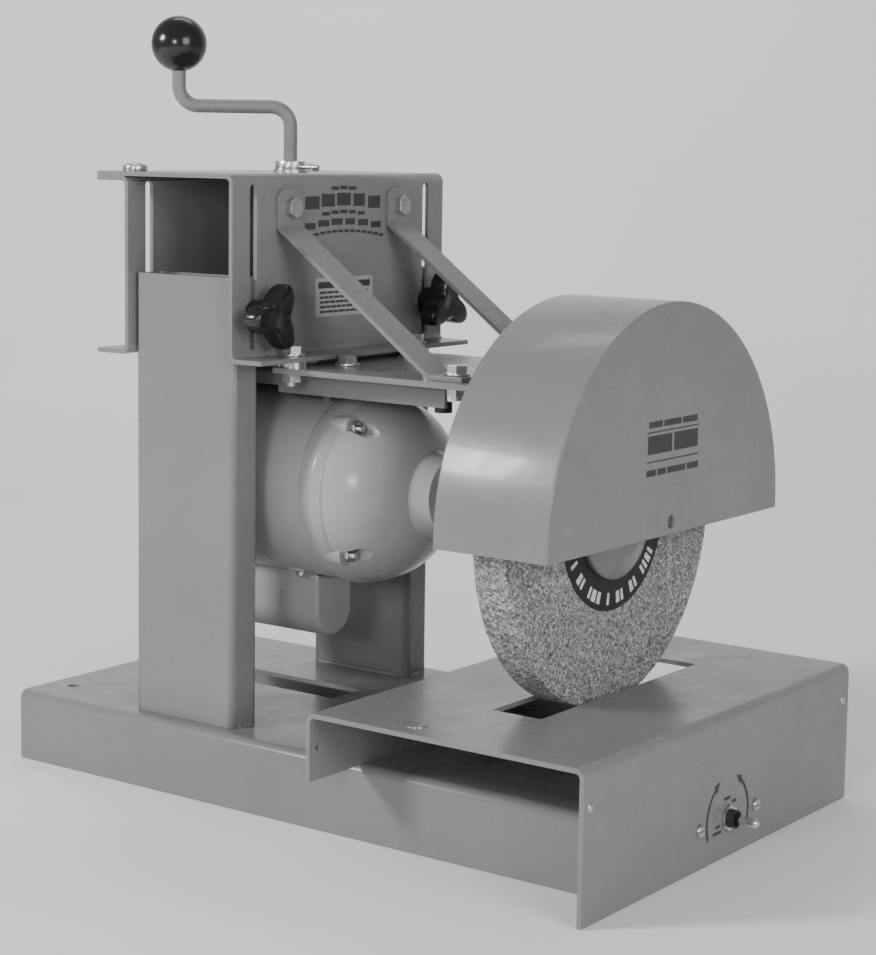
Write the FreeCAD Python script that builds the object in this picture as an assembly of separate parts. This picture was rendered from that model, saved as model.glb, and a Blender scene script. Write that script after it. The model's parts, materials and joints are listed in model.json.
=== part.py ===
"""Rotary blade grinder: a motor carriage that slides on two posts over a folded base.

Every length is in millimetres.  The shapes are drawn in the maker's own coordinates:
x runs from the left end of the base towards the wheel, y from the centre plane of the
machine towards the rear, z up from the floor.  save() moves them to the part's frame,
whose origin is the middle of the bounding box on the floor.
"""
import FreeCAD, Part
import math
import os

V = FreeCAD.Vector
X, Y, Z = V(1, 0, 0), V(0, 1, 0), V(0, 0, 1)

# ---- driving dimensions: sheet metal and fits
SHEET = 3.2                 # folded steel sheet
BEND_IN = 3.2               # inside radius of a fold
RUN_FIT = 0.05              # radial clearance of a shaft in its hole
SEAT_GAP = 0.1              # between curved faces that are bonded or welded
HOLE_CLEAR = 0.4            # radial clearance of a bolt in its hole

# ---- base and posts
BASE_W, BASE_H = 254.0, 50.8
BENCH_HOLE_R = 4.4
BENCH_INSET_X, BENCH_Y = 20.7, 93.0
BASE_SLOT_X0, BASE_SLOT_LEN = 70.0, 124.0
BASE_SLOT_Y0, BASE_SLOT_W = 0.0, 34.0
POST_X0, POST_W, POST_D = 104.0, 92.1, 26.7
POST_SPAN = 226.8           # over the outer faces of the two posts
POST_TOP = 364.0
POST_R = 5.0                # outer corner radius of the tube
POST_WALL = 3.2

# ---- work table
TABLE_X0, TABLE_LEN = 316.0, 210.0
TABLE_FRONT, TABLE_BACK = -179.0, 168.0
TABLE_H = 96.2
WHEEL_SLOT_LEN, SLOT_LEFT, SLOT_RIGHT = 196.0, 2.0, 10.0    # side gaps beside the wheel
TABLE_PLUG_X, TABLE_PLUG_Y, TABLE_PLUG_R = 389.0, -159.0, 7.5
FLANGE_HOLE_R, FLANGE_HOLE_Z, FLANGE_HOLE_INSET = 2.0, 72.0, 8.0

# ---- lifting carriage
SLIDE_GAP = 0.7             # between a post's side and the plate that slides on it
BRACKET_W = 239.0
BRACKET_BOTTOM, BRACKET_TOP = 306.5, 434.2
TOP_OVERHANG = 26.5         # top plate beyond the back channel's web
FOOT_LEN = 25.6             # bottom flange beyond the right plate
CLAMP_Y, CLAMP_Z = 98.0, 338.0
CLAMP_R = 3.2
CLAMP_SLOT_SIDE = 0.5
CLAMP_SLOT_Z0, CLAMP_SLOT_Z1 = 314.5, 427.5
CHANNEL_BOLT_Y = 96.0
BOLT_R = 3.95               # five-sixteenths bolts of the carriage
HEX_AF, HEAD_H, NUT_H = 12.7, 5.3, 6.5
WASHER_R, WASHER_T = 8.6, 1.6
PLATE_T, PLATE_HALF_W, PLATE_LEN = 4.0, 83.0, 183.0
PLATE_X0 = 205.0
SPACER_T = 4.5
FLANGE_BOLT_INSET, FLANGE_BOLT_Y = 12.0, 70.0    # from the bracket's right plate
MOTOR_BOLT_GAP, MOTOR_BOLT_INSET = 7.9, 22.0    # from the bracket's foot, from the motor base's end
STRAP_W, STRAP_Y = 25.4, 62.0
STRAP_BEND_Z, STRAP_TAB_LEN, STRAP_FOOT_X, STRAP_FOOT_LEN = 397.0, 27.0, 331.0, 28.0

# ---- lift screw and crank
SCREW_R, SCREW_END = 4.75, 322.0
CRANK_R, CRANK_THROW, CRANK_TURN = 5.0, 80.5, 217.0
CRANK_ARM_Z, CRANK_BEND_R, BALL_Z, BALL_R = 481.0, 14.0, 525.0, 20.0
COLLAR_R, COLLAR_H = 11.0, 6.0
BUSH_FLANGE_T = 2.0
BRIDGE_W, BRIDGE_T, BRIDGE_Z = 38.0, 12.7, 345.0

# ---- motor
AXIS_Z = 212.0              # height of the spindle
SHELL_R, SHELL_T = 68.5, 3.0
SHELL_X0, SHELL_X1 = 88.0, 228.0
REAR_END, DRIVE_END = 36.0, 298.0
BELL_WALL = 4.0
MOTOR_BASE_HALF = 53.0
MOTOR_BASE_X0, MOTOR_BASE_STEP_X, MOTOR_BASE_X1 = 110.0, 185.0, 330.0
MOTOR_BASE_LIP, MOTOR_BASE_SKIRT, RIB_HALF = 12.0, 17.0, 30.0
SHAFT_R, JOURNAL_R = 9.5, 8.5
BEARING_R, BEARING_T = 20.0, 12.0
STATOR_X0, STATOR_X1, STATOR_BORE_R = 115.0, 200.0, 40.0
AIR_GAP = 0.4
CAN_X0, CAN_X1, CAN_HALF_W, CAN_BOTTOM = 72.0, 195.0, 20.0, 98.0
CAN_WALL = 1.5
TIE_TURN, TIE_CIRCLE_R, TIE_R, TIE_SEAT_X, TIE_HEAD_X = 41.0, 62.6, 2.6, 243.0, 74.0
BOSS_R, TIE_POCKET_R, TIE_NOTCH_R = 8.0, 6.0, 3.3

# ---- wheel and guard
WHEEL_R, WHEEL_T, WHEEL_X = 127.0, 25.4, 419.0
ARBOR_R = 7.94
BLOTTER_R, BLOTTER_T = 62.5, 0.6
FLANGE_R, FLANGE_T = 41.0, 8.0
GUARD_GAP, GUARD_X0, GUARD_LEN, GUARD_BOTTOM = 19.0, 389.5, 86.0, 206.0    # gap outside the wheel
GUARD_BOLT_Y, GUARD_LUG = 30.0, 26.0

# ---- switch
SWITCH_Y, SWITCH_Z = -4.0, 26.0
SWITCH_SCREW_Y = 37.0       # from the lever to each screw
LEVER_REACH = 23.0          # lever tip beyond the table's end flange

# ---- derived places
TABLE_X1 = TABLE_X0 + TABLE_LEN
BASE_LEN = TABLE_X1 - SHEET
POST_X1 = POST_X0 + POST_W
POST_MID_X = (POST_X0 + POST_X1) / 2
POST_OUT = POST_SPAN / 2
POST_IN = POST_OUT - POST_D
PLATE_IN = POST_X1 + SLIDE_GAP          # inner face of the bracket's right plate
PLATE_OUT = PLATE_IN + SHEET
FLANGE_BOLT_X = PLATE_OUT + FLANGE_BOLT_INSET
GUARD_R = WHEEL_R + GUARD_GAP
WEB_X1 = POST_X0 - SLIDE_GAP            # back channel's web
WEB_X0 = WEB_X1 - SHEET
TOP_X0 = WEB_X0 - TOP_OVERHANG
CHANNEL_BOLT_X = TOP_X0 + 0.5 * TOP_OVERHANG + 1.0
PLATE_TOP = BRACKET_BOTTOM - SPACER_T
PLATE_UNDER = PLATE_TOP - PLATE_T
PLATE_X1 = PLATE_X0 + PLATE_LEN
WHEEL_X0, WHEEL_X1 = WHEEL_X - WHEEL_T / 2, WHEEL_X + WHEEL_T / 2
GUARD_X1 = GUARD_X0 + GUARD_LEN
INNER_FLANGE_X0 = WHEEL_X0 - BLOTTER_T - FLANGE_T
OUTER_FLANGE_X1 = WHEEL_X1 + BLOTTER_T + FLANGE_T
STRAP_BOLT_Z = STRAP_BEND_Z + 0.52 * STRAP_TAB_LEN
STRAP_BOLT_X = STRAP_FOOT_X + 0.55 * STRAP_FOOT_LEN
X_ORIGIN = (TABLE_X1 + LEVER_REACH) / 2
Y_ORIGIN = (TABLE_FRONT + TABLE_BACK) / 2


# ---- drawing helpers
def box(x0, x1, y0, y1, z0, z1):
    """Block between two corners."""
    return Part.makeBox(x1 - x0, y1 - y0, z1 - z0, V(x0, y0, z0))


def rod(r, start, axis, length):
    """Cylinder from a point along an axis."""
    return Part.makeCylinder(r, length, start, axis)


def tube(r_out, r_in, start, axis, length):
    """Ring or pipe."""
    return rod(r_out, start, axis, length).cut(rod(r_in, start, axis, length))


def fuse(shapes):
    """One solid from touching shapes."""
    out = shapes[0]
    for shape in shapes[1:]:
        out = out.fuse(shape)
    return out.removeSplitter()


def hexagon(af, start, axis, length):
    """Hexagonal prism of a given width across flats."""
    r = af / math.sqrt(3)
    side = Z if abs(axis.z) < 0.5 else X
    across = axis.cross(side)
    corners = [start + side * (r * math.cos(a)) + across * (r * math.sin(a))
               for a in (math.radians(60 * i) for i in range(7))]
    return Part.Face(Part.makePolygon(corners)).extrude(axis * length)


def folds(shape, direction, spots, radius):
    """Round the edges that run along direction through the given spots."""
    chosen = []
    for edge in shape.Edges:
        if len(edge.Vertexes) < 2:
            continue
        a, b = edge.Vertexes[0].Point, edge.Vertexes[1].Point
        if (b - a).cross(direction).Length > 1e-6:
            continue
        for spot in spots:
            gap = a - spot
            if (gap - direction * gap.dot(direction)).Length < 1e-6:
                chosen.append(edge)
    return shape.makeFillet(radius, chosen)


def prism(points, direction):
    """Closed outline pushed along a vector."""
    return Part.Face(Part.makePolygon(points + [points[0]])).extrude(direction)


def spun(profile, x_axis_z):
    """Solid turned about the spindle line from (x, radius) corners."""
    points = [V(x, 0, x_axis_z + r) for x, r in profile]
    face = Part.Face(Part.makePolygon(points + [points[0]]))
    return face.revolve(V(0, 0, x_axis_z), X, 360)


def bolt(seat, axis, grip, head="hex", washer=True, r=BOLT_R):
    """Bolt whose head sits on the seat and whose shank runs along axis."""
    lift = WASHER_T if washer else 0.0
    under = seat - axis * lift
    if head == "hex":
        top = hexagon(HEX_AF, under - axis * HEAD_H, axis, HEAD_H)
    else:
        dome = Part.makeSphere(2 * WASHER_R, under + axis * (2 * WASHER_R - HEAD_H + 0.8))
        keep = rod(WASHER_R, under - axis * HEAD_H, axis, HEAD_H)
        top = dome.common(keep)
    parts = [top, rod(r, under, axis, grip + lift)]
    if washer:
        parts.append(rod(WASHER_R, under, axis, WASHER_T))
    return fuse(parts)


def nut(seat, axis, r=BOLT_R, af=HEX_AF, height=NUT_H):
    """Nut that sits on the seat and stands out along axis."""
    return hexagon(af, seat, axis, height).cut(rod(r, seat - axis, axis, height + 2))


def both_sides(make, y):
    """The same piece at -y and +y."""
    return Part.makeCompound([make(-y), make(y)])


def save(name, shape):
    """Write one sub-part in the part's frame."""
    shape = shape.copy()
    shape.translate(V(-X_ORIGIN, -Y_ORIGIN, 0))
    shape.exportStep(os.path.join("parts", name + ".step"))


# ---- frame
def base():
    half = BASE_W / 2
    body = box(0, BASE_LEN, -half, half, 0, BASE_H)
    body = folds(body, X, [V(0, -half, BASE_H), V(0, half, BASE_H)], BEND_IN + SHEET)
    inside = box(-1, BASE_LEN + 1, SHEET - half, half - SHEET, -1, BASE_H - SHEET)
    corners = [V(0, s * (half - SHEET), BASE_H - SHEET) for s in (-1, 1)]
    body = body.cut(folds(inside, X, corners, BEND_IN))
    top = BASE_H - SHEET - 1
    body = body.cut(box(BASE_SLOT_X0, BASE_SLOT_X0 + BASE_SLOT_LEN, BASE_SLOT_Y0,
                        BASE_SLOT_Y0 + BASE_SLOT_W, top, BASE_H + 1))
    for x in (BENCH_INSET_X, BASE_LEN - BENCH_INSET_X):
        for y in (-BENCH_Y, BENCH_Y):
            body = body.cut(rod(BENCH_HOLE_R, V(x, y, top), Z, SHEET + 2))
    return body


def post(side):
    """Open-topped rectangular tube; side is -1 at the front and 1 at the rear."""
    y0, y1 = sorted((side * POST_IN, side * POST_OUT))
    corners = [V(x, y, 0) for x in (POST_X0, POST_X1) for y in (y0, y1)]
    body = folds(box(POST_X0, POST_X1, y0, y1, BASE_H, POST_TOP), Z, corners, POST_R)
    x0, x1 = POST_X0 + POST_WALL, POST_X1 - POST_WALL
    y0, y1 = y0 + POST_WALL, y1 - POST_WALL
    corners = [V(x, y, 0) for x in (x0, x1) for y in (y0, y1)]
    inside = folds(box(x0, x1, y0, y1, BASE_H - 1, POST_TOP + 1), Z, corners, POST_R - POST_WALL)
    return body.cut(inside).cut(rod(CLAMP_R + HOLE_CLEAR, V(POST_X0 - 1, side * CLAMP_Y, CLAMP_Z),
                                    X, POST_W + 2))


def lift_nut_parts():
    """Bar between the posts, and the flanged nut that sits in it from below."""
    body_r, flange_r, flange_t = 12.0, 17.0, 5.0
    centre = V(POST_MID_X, 0, BRIDGE_Z)
    half = BRIDGE_W / 2
    bar = box(POST_MID_X - half, POST_MID_X + half, -POST_IN, POST_IN, BRIDGE_Z, BRIDGE_Z + BRIDGE_T)
    bar = bar.cut(rod(body_r + SEAT_GAP, centre - Z, Z, BRIDGE_T + 2))
    body = rod(body_r, centre, Z, BRIDGE_T + 2).fuse(rod(flange_r, centre - Z * flange_t, Z, flange_t))
    body = body.removeSplitter().cut(rod(SCREW_R + RUN_FIT, centre - Z * 10, Z, BRIDGE_T + 20))
    return bar, body


def work_table():
    y0, y1 = TABLE_FRONT, TABLE_BACK
    outline = [V(TABLE_X0, y0, BASE_H), V(TABLE_X0, y0, TABLE_H), V(TABLE_X1, y0, TABLE_H),
               V(TABLE_X1, y0, 0), V(TABLE_X1 - SHEET, y0, 0),
               V(TABLE_X1 - SHEET, y0, TABLE_H - SHEET), V(TABLE_X0 + SHEET, y0, TABLE_H - SHEET),
               V(TABLE_X0 + SHEET, y0, BASE_H)]
    body = prism(outline, V(0, y1 - y0, 0))
    body = folds(body, Y, [V(TABLE_X0, 0, TABLE_H), V(TABLE_X1, 0, TABLE_H)], BEND_IN + SHEET)
    inner = [V(x, 0, TABLE_H - SHEET) for x in (TABLE_X0 + SHEET, TABLE_X1 - SHEET)]
    body = folds(body, Y, inner, BEND_IN)
    half = WHEEL_SLOT_LEN / 2
    body = body.cut(box(WHEEL_X0 - SLOT_LEFT, WHEEL_X1 + SLOT_RIGHT, -half, half,
                        TABLE_H - SHEET - 1, TABLE_H + 1))
    body = body.cut(rod(TABLE_PLUG_R * 0.6, V(TABLE_PLUG_X, TABLE_PLUG_Y, TABLE_H - 10), Z, 20))
    ends = [(TABLE_X0, y0 + FLANGE_HOLE_INSET), (TABLE_X1, y0 + FLANGE_HOLE_INSET),
            (TABLE_X1, y1 - FLANGE_HOLE_INSET)]
    for x, y in ends:
        body = body.cut(rod(FLANGE_HOLE_R, V(x - 5, y, FLANGE_HOLE_Z), X, 10))
    body = body.cut(rod(BUSHING_R + HOLE_CLEAR, V(TABLE_X1 - 5, SWITCH_Y, SWITCH_Z), X, 10))
    for y in (SWITCH_Y - SWITCH_SCREW_Y, SWITCH_Y + SWITCH_SCREW_Y):
        body = body.cut(rod(SCREW4_R + HOLE_CLEAR, V(TABLE_X1 - 5, y, SWITCH_Z), X, 10))
    return body


def table_plug():
    spot = V(TABLE_PLUG_X, TABLE_PLUG_Y, TABLE_H)
    head = rod(TABLE_PLUG_R, spot, Z, 0.6)
    stem_r = TABLE_PLUG_R * 0.6 - SEAT_GAP
    lip = rod(TABLE_PLUG_R * 0.68, spot - Z * (SHEET + 1.5), Z, 1.5)
    return fuse([head, rod(stem_r, spot - Z * (SHEET + 1), Z, SHEET + 1), lip])


# ---- toggle switch in the table's end flange
BUSHING_R, BUSHING_BORE_R, BUSHING_PROUD = 5.9, 3.3, 7.0
SCREW4_R, SCREW4_HEAD_R = 2.0, 4.2
SWITCH_BODY_D, SWITCH_BODY_HALF_Y, SWITCH_BODY_HALF_Z = 26.0, 9.5, 13.0
SWITCH_BOX_D, SWITCH_BOX_HALF_Y, SWITCH_BOX_HALF_Z, SWITCH_BOX_T = 42.0, 27.0, 18.0, 1.2
LEVER_PIVOT_X = TABLE_X1 + 2.0
PIVOT_PIN_R = 0.9


def switch_box():
    face = TABLE_X1 - SHEET
    y, z, t = SWITCH_Y, SWITCH_Z, SWITCH_BOX_T
    hy, hz = SWITCH_BOX_HALF_Y, SWITCH_BOX_HALF_Z
    shell = box(face - SWITCH_BOX_D, face, y - hy, y + hy, z - hz, z + hz)
    shell = shell.cut(box(face - SWITCH_BOX_D + t, face + 1, y - hy + t, y + hy - t,
                          z - hz + t, z + hz - t))
    ear = box(face - t, face, y - SWITCH_SCREW_Y - 7, y + SWITCH_SCREW_Y + 7, z - 8, z + 8)
    ear = ear.cut(box(face - t - 1, face + 1, y - hy, y + hy, z - 10, z + 10))
    shell = fuse([shell, ear])
    for side in (-1, 1):
        shell = shell.cut(rod(SCREW4_R + SEAT_GAP, V(face - 5, y + side * SWITCH_SCREW_Y, z), X, 10))
    return shell.cut(rod(5.0, V(face - SWITCH_BOX_D - 1, y, z), X, 5))


def switch_body():
    face = TABLE_X1 - SHEET
    case = box(face - SWITCH_BODY_D, face, SWITCH_Y - SWITCH_BODY_HALF_Y, SWITCH_Y + SWITCH_BODY_HALF_Y,
               SWITCH_Z - SWITCH_BODY_HALF_Z, SWITCH_Z + SWITCH_BODY_HALF_Z)
    centre = V(face, SWITCH_Y, SWITCH_Z)
    neck = rod(BUSHING_R, centre, X, SHEET + BUSHING_PROUD)
    body = fuse([case, neck]).cut(rod(BUSHING_BORE_R, centre - X * 3, X, SHEET + BUSHING_PROUD + 4))
    mouth = face + SHEET + BUSHING_PROUD
    flare = Part.makeCone(BUSHING_BORE_R, BUSHING_R - 0.8, 4.0, V(mouth - 4.0, SWITCH_Y, SWITCH_Z), X)
    pin = rod(PIVOT_PIN_R, V(LEVER_PIVOT_X, SWITCH_Y, SWITCH_Z - BUSHING_R + 1), Z, 2 * BUSHING_R - 2)
    tabs = [box(face - SWITCH_BODY_D - 8, face - SWITCH_BODY_D, SWITCH_Y - 3, SWITCH_Y + 3,
                SWITCH_Z + dz - 0.5, SWITCH_Z + dz + 0.5) for dz in (-8, 0, 8)]
    return fuse([body.cut(flare), pin] + tabs)


def switch_nut():
    return nut(V(TABLE_X1, SWITCH_Y, SWITCH_Z), X, BUSHING_R + SEAT_GAP, 15.9, 2.4)


def switch_screw(y):
    seat = V(TABLE_X1, y, SWITCH_Z)
    head = rod(SCREW4_HEAD_R, seat, X, 2.6)
    head = head.makeFillet(1.2, [head.Edges[0] if head.Edges[0].BoundBox.XMin > seat.x + 1
                                 else head.Edges[2]])
    screw = fuse([head, rod(SCREW4_R, seat - X * 12, X, 12)])
    return screw.cut(box(seat.x + 1.4, seat.x + 3, y - 5, y + 5, SWITCH_Z - 0.5, SWITCH_Z + 0.5))


def toggle_lever():
    pivot = V(LEVER_PIVOT_X, SWITCH_Y, SWITCH_Z)
    ball = Part.makeSphere(BUSHING_BORE_R - SEAT_GAP, pivot)
    tip_r, root_r = 3.1, 1.9
    length = TABLE_X1 + LEVER_REACH - pivot.x - tip_r
    stick = Part.makeCone(root_r, tip_r, length, pivot, X)
    lever = fuse([ball, stick, Part.makeSphere(tip_r, pivot + X * length)])
    return lever.cut(rod(PIVOT_PIN_R + RUN_FIT, pivot - Z * 10, Z, 20))


# ---- clamps
KNOB_R, KNOB_HUB_R, KNOB_LOBE_R = 25.0, 11.5, 7.5
KNOB_HUB_LEN, KNOB_HEAD_LEN = 9.0, 15.0
INSERT_R, CLAMP_WASHER_T, CLAMP_WASHER_R = 6.0, 2.0, 9.5
KNOB_X0 = PLATE_OUT + CLAMP_WASHER_T + SEAT_GAP
KNOB_X1 = KNOB_X0 + KNOB_HUB_LEN + KNOB_HEAD_LEN


def clamp_bolt(y):
    """Long bolt through a post, its head outside the back channel's web."""
    seat = V(WEB_X0 - CLAMP_WASHER_T, y, CLAMP_Z)
    shank = rod(CLAMP_R, seat, X, KNOB_X1 - 4 - seat.x)
    return fuse([hexagon(11.0, seat - X * 4.5, X, 4.5), shank])


def clamp_washers(y):
    """Washers under the knob and under the bolt's head."""
    hole = CLAMP_R + SEAT_GAP
    right = tube(CLAMP_WASHER_R, hole, V(PLATE_OUT, y, CLAMP_Z), X, CLAMP_WASHER_T)
    left = tube(CLAMP_WASHER_R, hole, V(WEB_X0 - CLAMP_WASHER_T, y, CLAMP_Z), X, CLAMP_WASHER_T)
    return Part.makeCompound([right, left])


def knob(y, turn):
    """Three-lobed hand knob; turn is the angle of its first lobe above +y."""
    centre = V(KNOB_X0, y, CLAMP_Z)
    head = centre + X * KNOB_HUB_LEN
    parts = [rod(KNOB_HUB_R, centre, X, KNOB_HUB_LEN + KNOB_HEAD_LEN)]
    for i in range(3):
        angle = math.radians(turn + 120 * i)
        out = V(0, math.cos(angle), math.sin(angle))
        across = V(0, -math.sin(angle), math.cos(angle))
        end = head + out * (KNOB_R - KNOB_LOBE_R)
        parts.append(rod(KNOB_LOBE_R, end, X, KNOB_HEAD_LEN))
        arm = [head - across * KNOB_HUB_R * 0.9, end - across * KNOB_LOBE_R,
               end + across * KNOB_LOBE_R, head + across * KNOB_HUB_R * 0.9]
        parts.append(prism(arm, X * KNOB_HEAD_LEN))
    return fuse(parts).cut(rod(INSERT_R, centre - X, X, KNOB_X1 - KNOB_X0 - 2))


def knob_insert(y):
    return tube(INSERT_R, CLAMP_R + RUN_FIT, V(KNOB_X0, y, CLAMP_Z), X, KNOB_X1 - KNOB_X0 - 3)


# ---- lifting carriage
def clamp_slots(shape, x):
    """Cut the two vertical slots that the clamp bolts run in."""
    r = CLAMP_R + CLAMP_SLOT_SIDE
    for y in (-CLAMP_Y, CLAMP_Y):
        z0, z1 = CLAMP_SLOT_Z0 + r, CLAMP_SLOT_Z1 - r
        shape = shape.cut(box(x - 1, x + SHEET + 1, y - r, y + r, z0, z1))
        for z in (z0, z1):
            shape = shape.cut(rod(r, V(x - 1, y, z), X, SHEET + 2))
    return shape


def lift_bracket():
    half = BRACKET_W / 2
    z0, z1, foot = BRACKET_BOTTOM, BRACKET_TOP, PLATE_OUT + FOOT_LEN
    outline = [V(TOP_X0, -half, z1), V(PLATE_OUT, -half, z1), V(PLATE_OUT, -half, z0 + SHEET),
               V(foot, -half, z0 + SHEET), V(foot, -half, z0), V(PLATE_IN, -half, z0),
               V(PLATE_IN, -half, z1 - SHEET), V(TOP_X0, -half, z1 - SHEET)]
    body = prism(outline, V(0, BRACKET_W, 0))
    body = folds(body, Y, [V(PLATE_OUT, 0, z1), V(PLATE_IN, 0, z0)], BEND_IN + SHEET)
    body = folds(body, Y, [V(PLATE_IN, 0, z1 - SHEET), V(PLATE_OUT, 0, z0 + SHEET)], BEND_IN)
    body = clamp_slots(body, PLATE_IN)
    hole = BOLT_R + HOLE_CLEAR
    for side in (-1, 1):
        body = body.cut(rod(hole, V(CHANNEL_BOLT_X, side * CHANNEL_BOLT_Y, z1 - 10), Z, 20))
        body = body.cut(rod(hole, V(FLANGE_BOLT_X, side * FLANGE_BOLT_Y, z0 - 5), Z, 10))
        body = body.cut(rod(hole, V(PLATE_IN - 5, side * STRAP_Y, STRAP_BOLT_Z), X, 15))
    return body.cut(rod(BUSH_R, V(POST_MID_X, 0, z1 - 10), Z, 20))


def back_channel():
    half = BRACKET_W / 2
    z0, z1 = BRACKET_BOTTOM, BRACKET_TOP - SHEET
    body = box(TOP_X0, WEB_X1, -half, half, z0, z1)
    body = folds(body, Y, [V(WEB_X1, 0, z0), V(WEB_X1, 0, z1)], BEND_IN + SHEET)
    inside = box(TOP_X0 - 1, WEB_X0, -half - 1, half + 1, z0 + SHEET, z1 - SHEET)
    inside = folds(inside, Y, [V(WEB_X0, 0, z0 + SHEET), V(WEB_X0, 0, z1 - SHEET)], BEND_IN)
    body = clamp_slots(body.cut(inside), WEB_X0)
    for y in (-CHANNEL_BOLT_Y, CHANNEL_BOLT_Y):
        body = body.cut(rod(BOLT_R + HOLE_CLEAR, V(CHANNEL_BOLT_X, y, z1 - 10), Z, 20))
    return body


BUSH_R, BUSH_FLANGE_R = 7.5, 12.5


def screw_bushing():
    """Flanged bushing that carries the lift screw in the top plate."""
    top = V(POST_MID_X, 0, BRACKET_TOP)
    body = rod(BUSH_FLANGE_R, top, Z, BUSH_FLANGE_T).fuse(rod(BUSH_R, top - Z * SHEET, Z, SHEET))
    return body.removeSplitter().cut(rod(SCREW_R + RUN_FIT, top - Z * 10, Z, 20))


MOTOR_BOLT_X = (PLATE_OUT + FOOT_LEN + MOTOR_BOLT_GAP, MOTOR_BASE_X1 - MOTOR_BOLT_INSET)
MOTOR_BOLT_Y = 36.0
GUARD_BOLT_X = PLATE_X1 - 13.0


def plate_bolt_spots():
    """Every bolt hole of the motor plate."""
    spots = []
    for side in (-1, 1):
        spots.append((FLANGE_BOLT_X, side * FLANGE_BOLT_Y))
        spots.append((STRAP_BOLT_X, side * STRAP_Y))
        spots.append((GUARD_BOLT_X, side * GUARD_BOLT_Y))
        spots += [(x, side * MOTOR_BOLT_Y) for x in MOTOR_BOLT_X]
    return spots


def motor_plate():
    body = box(PLATE_X0, PLATE_X1, -PLATE_HALF_W, PLATE_HALF_W, PLATE_UNDER, PLATE_TOP)
    for x, y in plate_bolt_spots():
        body = body.cut(rod(BOLT_R + HOLE_CLEAR, V(x, y, PLATE_UNDER - 1), Z, PLATE_T + 2))
    return body


def brace(side):
    """Flat strap from the bracket's right plate down to the motor plate."""
    y0 = side * STRAP_Y - STRAP_W / 2
    x0, x1 = PLATE_OUT, PLATE_OUT + SHEET
    z0, z1 = PLATE_TOP, PLATE_TOP + SHEET
    top = STRAP_BEND_Z + STRAP_TAB_LEN
    slope = math.atan2(STRAP_BEND_Z - z0, STRAP_FOOT_X - x0)
    upper = SHEET * math.tan((math.pi / 2 - slope) / 2)
    lower = SHEET * math.tan(slope / 2)
    outline = [V(x0, y0, top), V(x0, y0, STRAP_BEND_Z), V(STRAP_FOOT_X, y0, z0),
               V(STRAP_FOOT_X + STRAP_FOOT_LEN, y0, z0), V(STRAP_FOOT_X + STRAP_FOOT_LEN, y0, z1),
               V(STRAP_FOOT_X + lower, y0, z1), V(x1, y0, STRAP_BEND_Z + upper), V(x1, y0, top)]
    body = prism(outline, V(0, STRAP_W, 0))
    hole = BOLT_R + HOLE_CLEAR
    body = body.cut(rod(hole, V(x0 - 1, side * STRAP_Y, STRAP_BOLT_Z), X, SHEET + 2))
    body = body.cut(rod(hole, V(STRAP_BOLT_X, side * STRAP_Y, z0 - 1), Z, SHEET + 2))
    corners = [V(0, y0 + dy, top) for dy in (0, STRAP_W)]
    return folds(body, X, corners, STRAP_W * 0.3)


def channel_bolt(y):
    return bolt(V(CHANNEL_BOLT_X, y, BRACKET_TOP), -Z, 2 * SHEET + NUT_H + 2, "dome")


def flange_bolt(y):
    grip = SHEET + SPACER_T + PLATE_T + NUT_H + 3
    return bolt(V(FLANGE_BOLT_X, y, BRACKET_BOTTOM + SHEET), -Z, grip)


def flange_spacer(y):
    return tube(WASHER_R + 1.5, BOLT_R + HOLE_CLEAR, V(FLANGE_BOLT_X, y, PLATE_TOP), Z, SPACER_T)


def brace_bolts(y):
    upper = bolt(V(PLATE_OUT + SHEET, y, STRAP_BOLT_Z), -X, 2 * SHEET + NUT_H + 2, washer=False)
    lower = bolt(V(STRAP_BOLT_X, y, PLATE_TOP + SHEET), -Z, SHEET + PLATE_T + NUT_H + 3)
    return Part.makeCompound([upper, lower])


def carriage_nuts():
    """Nuts of the channel, flange and brace bolts."""
    nuts = []
    for side in (-1, 1):
        nuts.append(nut(V(CHANNEL_BOLT_X, side * CHANNEL_BOLT_Y, BRACKET_TOP - 2 * SHEET), -Z))
        nuts.append(nut(V(FLANGE_BOLT_X, side * FLANGE_BOLT_Y, PLATE_UNDER), -Z))
        nuts.append(nut(V(PLATE_IN, side * STRAP_Y, STRAP_BOLT_Z), -X))
        nuts.append(nut(V(STRAP_BOLT_X, side * STRAP_Y, PLATE_UNDER), -Z))
    return Part.makeCompound(nuts)


# ---- lift screw and crank
def lead_screw():
    return rod(SCREW_R, V(POST_MID_X, 0, SCREW_END), Z, BRACKET_TOP + BUSH_FLANGE_T + 4 - SCREW_END)


def screw_collars():
    """Collar above the bushing's flange and one under the top plate."""
    bore = SCREW_R + RUN_FIT
    upper = tube(COLLAR_R, bore, V(POST_MID_X, 0, BRACKET_TOP + BUSH_FLANGE_T), Z, COLLAR_H)
    upper = upper.cut(rod(CRANK_R + RUN_FIT, V(POST_MID_X, 0, BRACKET_TOP + BUSH_FLANGE_T + 4), Z, 10))
    upper = upper.cut(pin_shape(SEAT_GAP))
    lower = tube(COLLAR_R, bore, V(POST_MID_X, 0, BRACKET_TOP - SHEET - COLLAR_H), Z, COLLAR_H)
    return Part.makeCompound([upper, lower])


def pin_shape(clear):
    """Drive pin whose tail sticks out of the upper collar, grown by a clearance."""
    height = BRACKET_TOP + BUSH_FLANGE_T + 2.2
    return rod(1.5 + clear, V(POST_MID_X + SCREW_R + 1.5 - clear, 0, height), X, 20.0)


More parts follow.
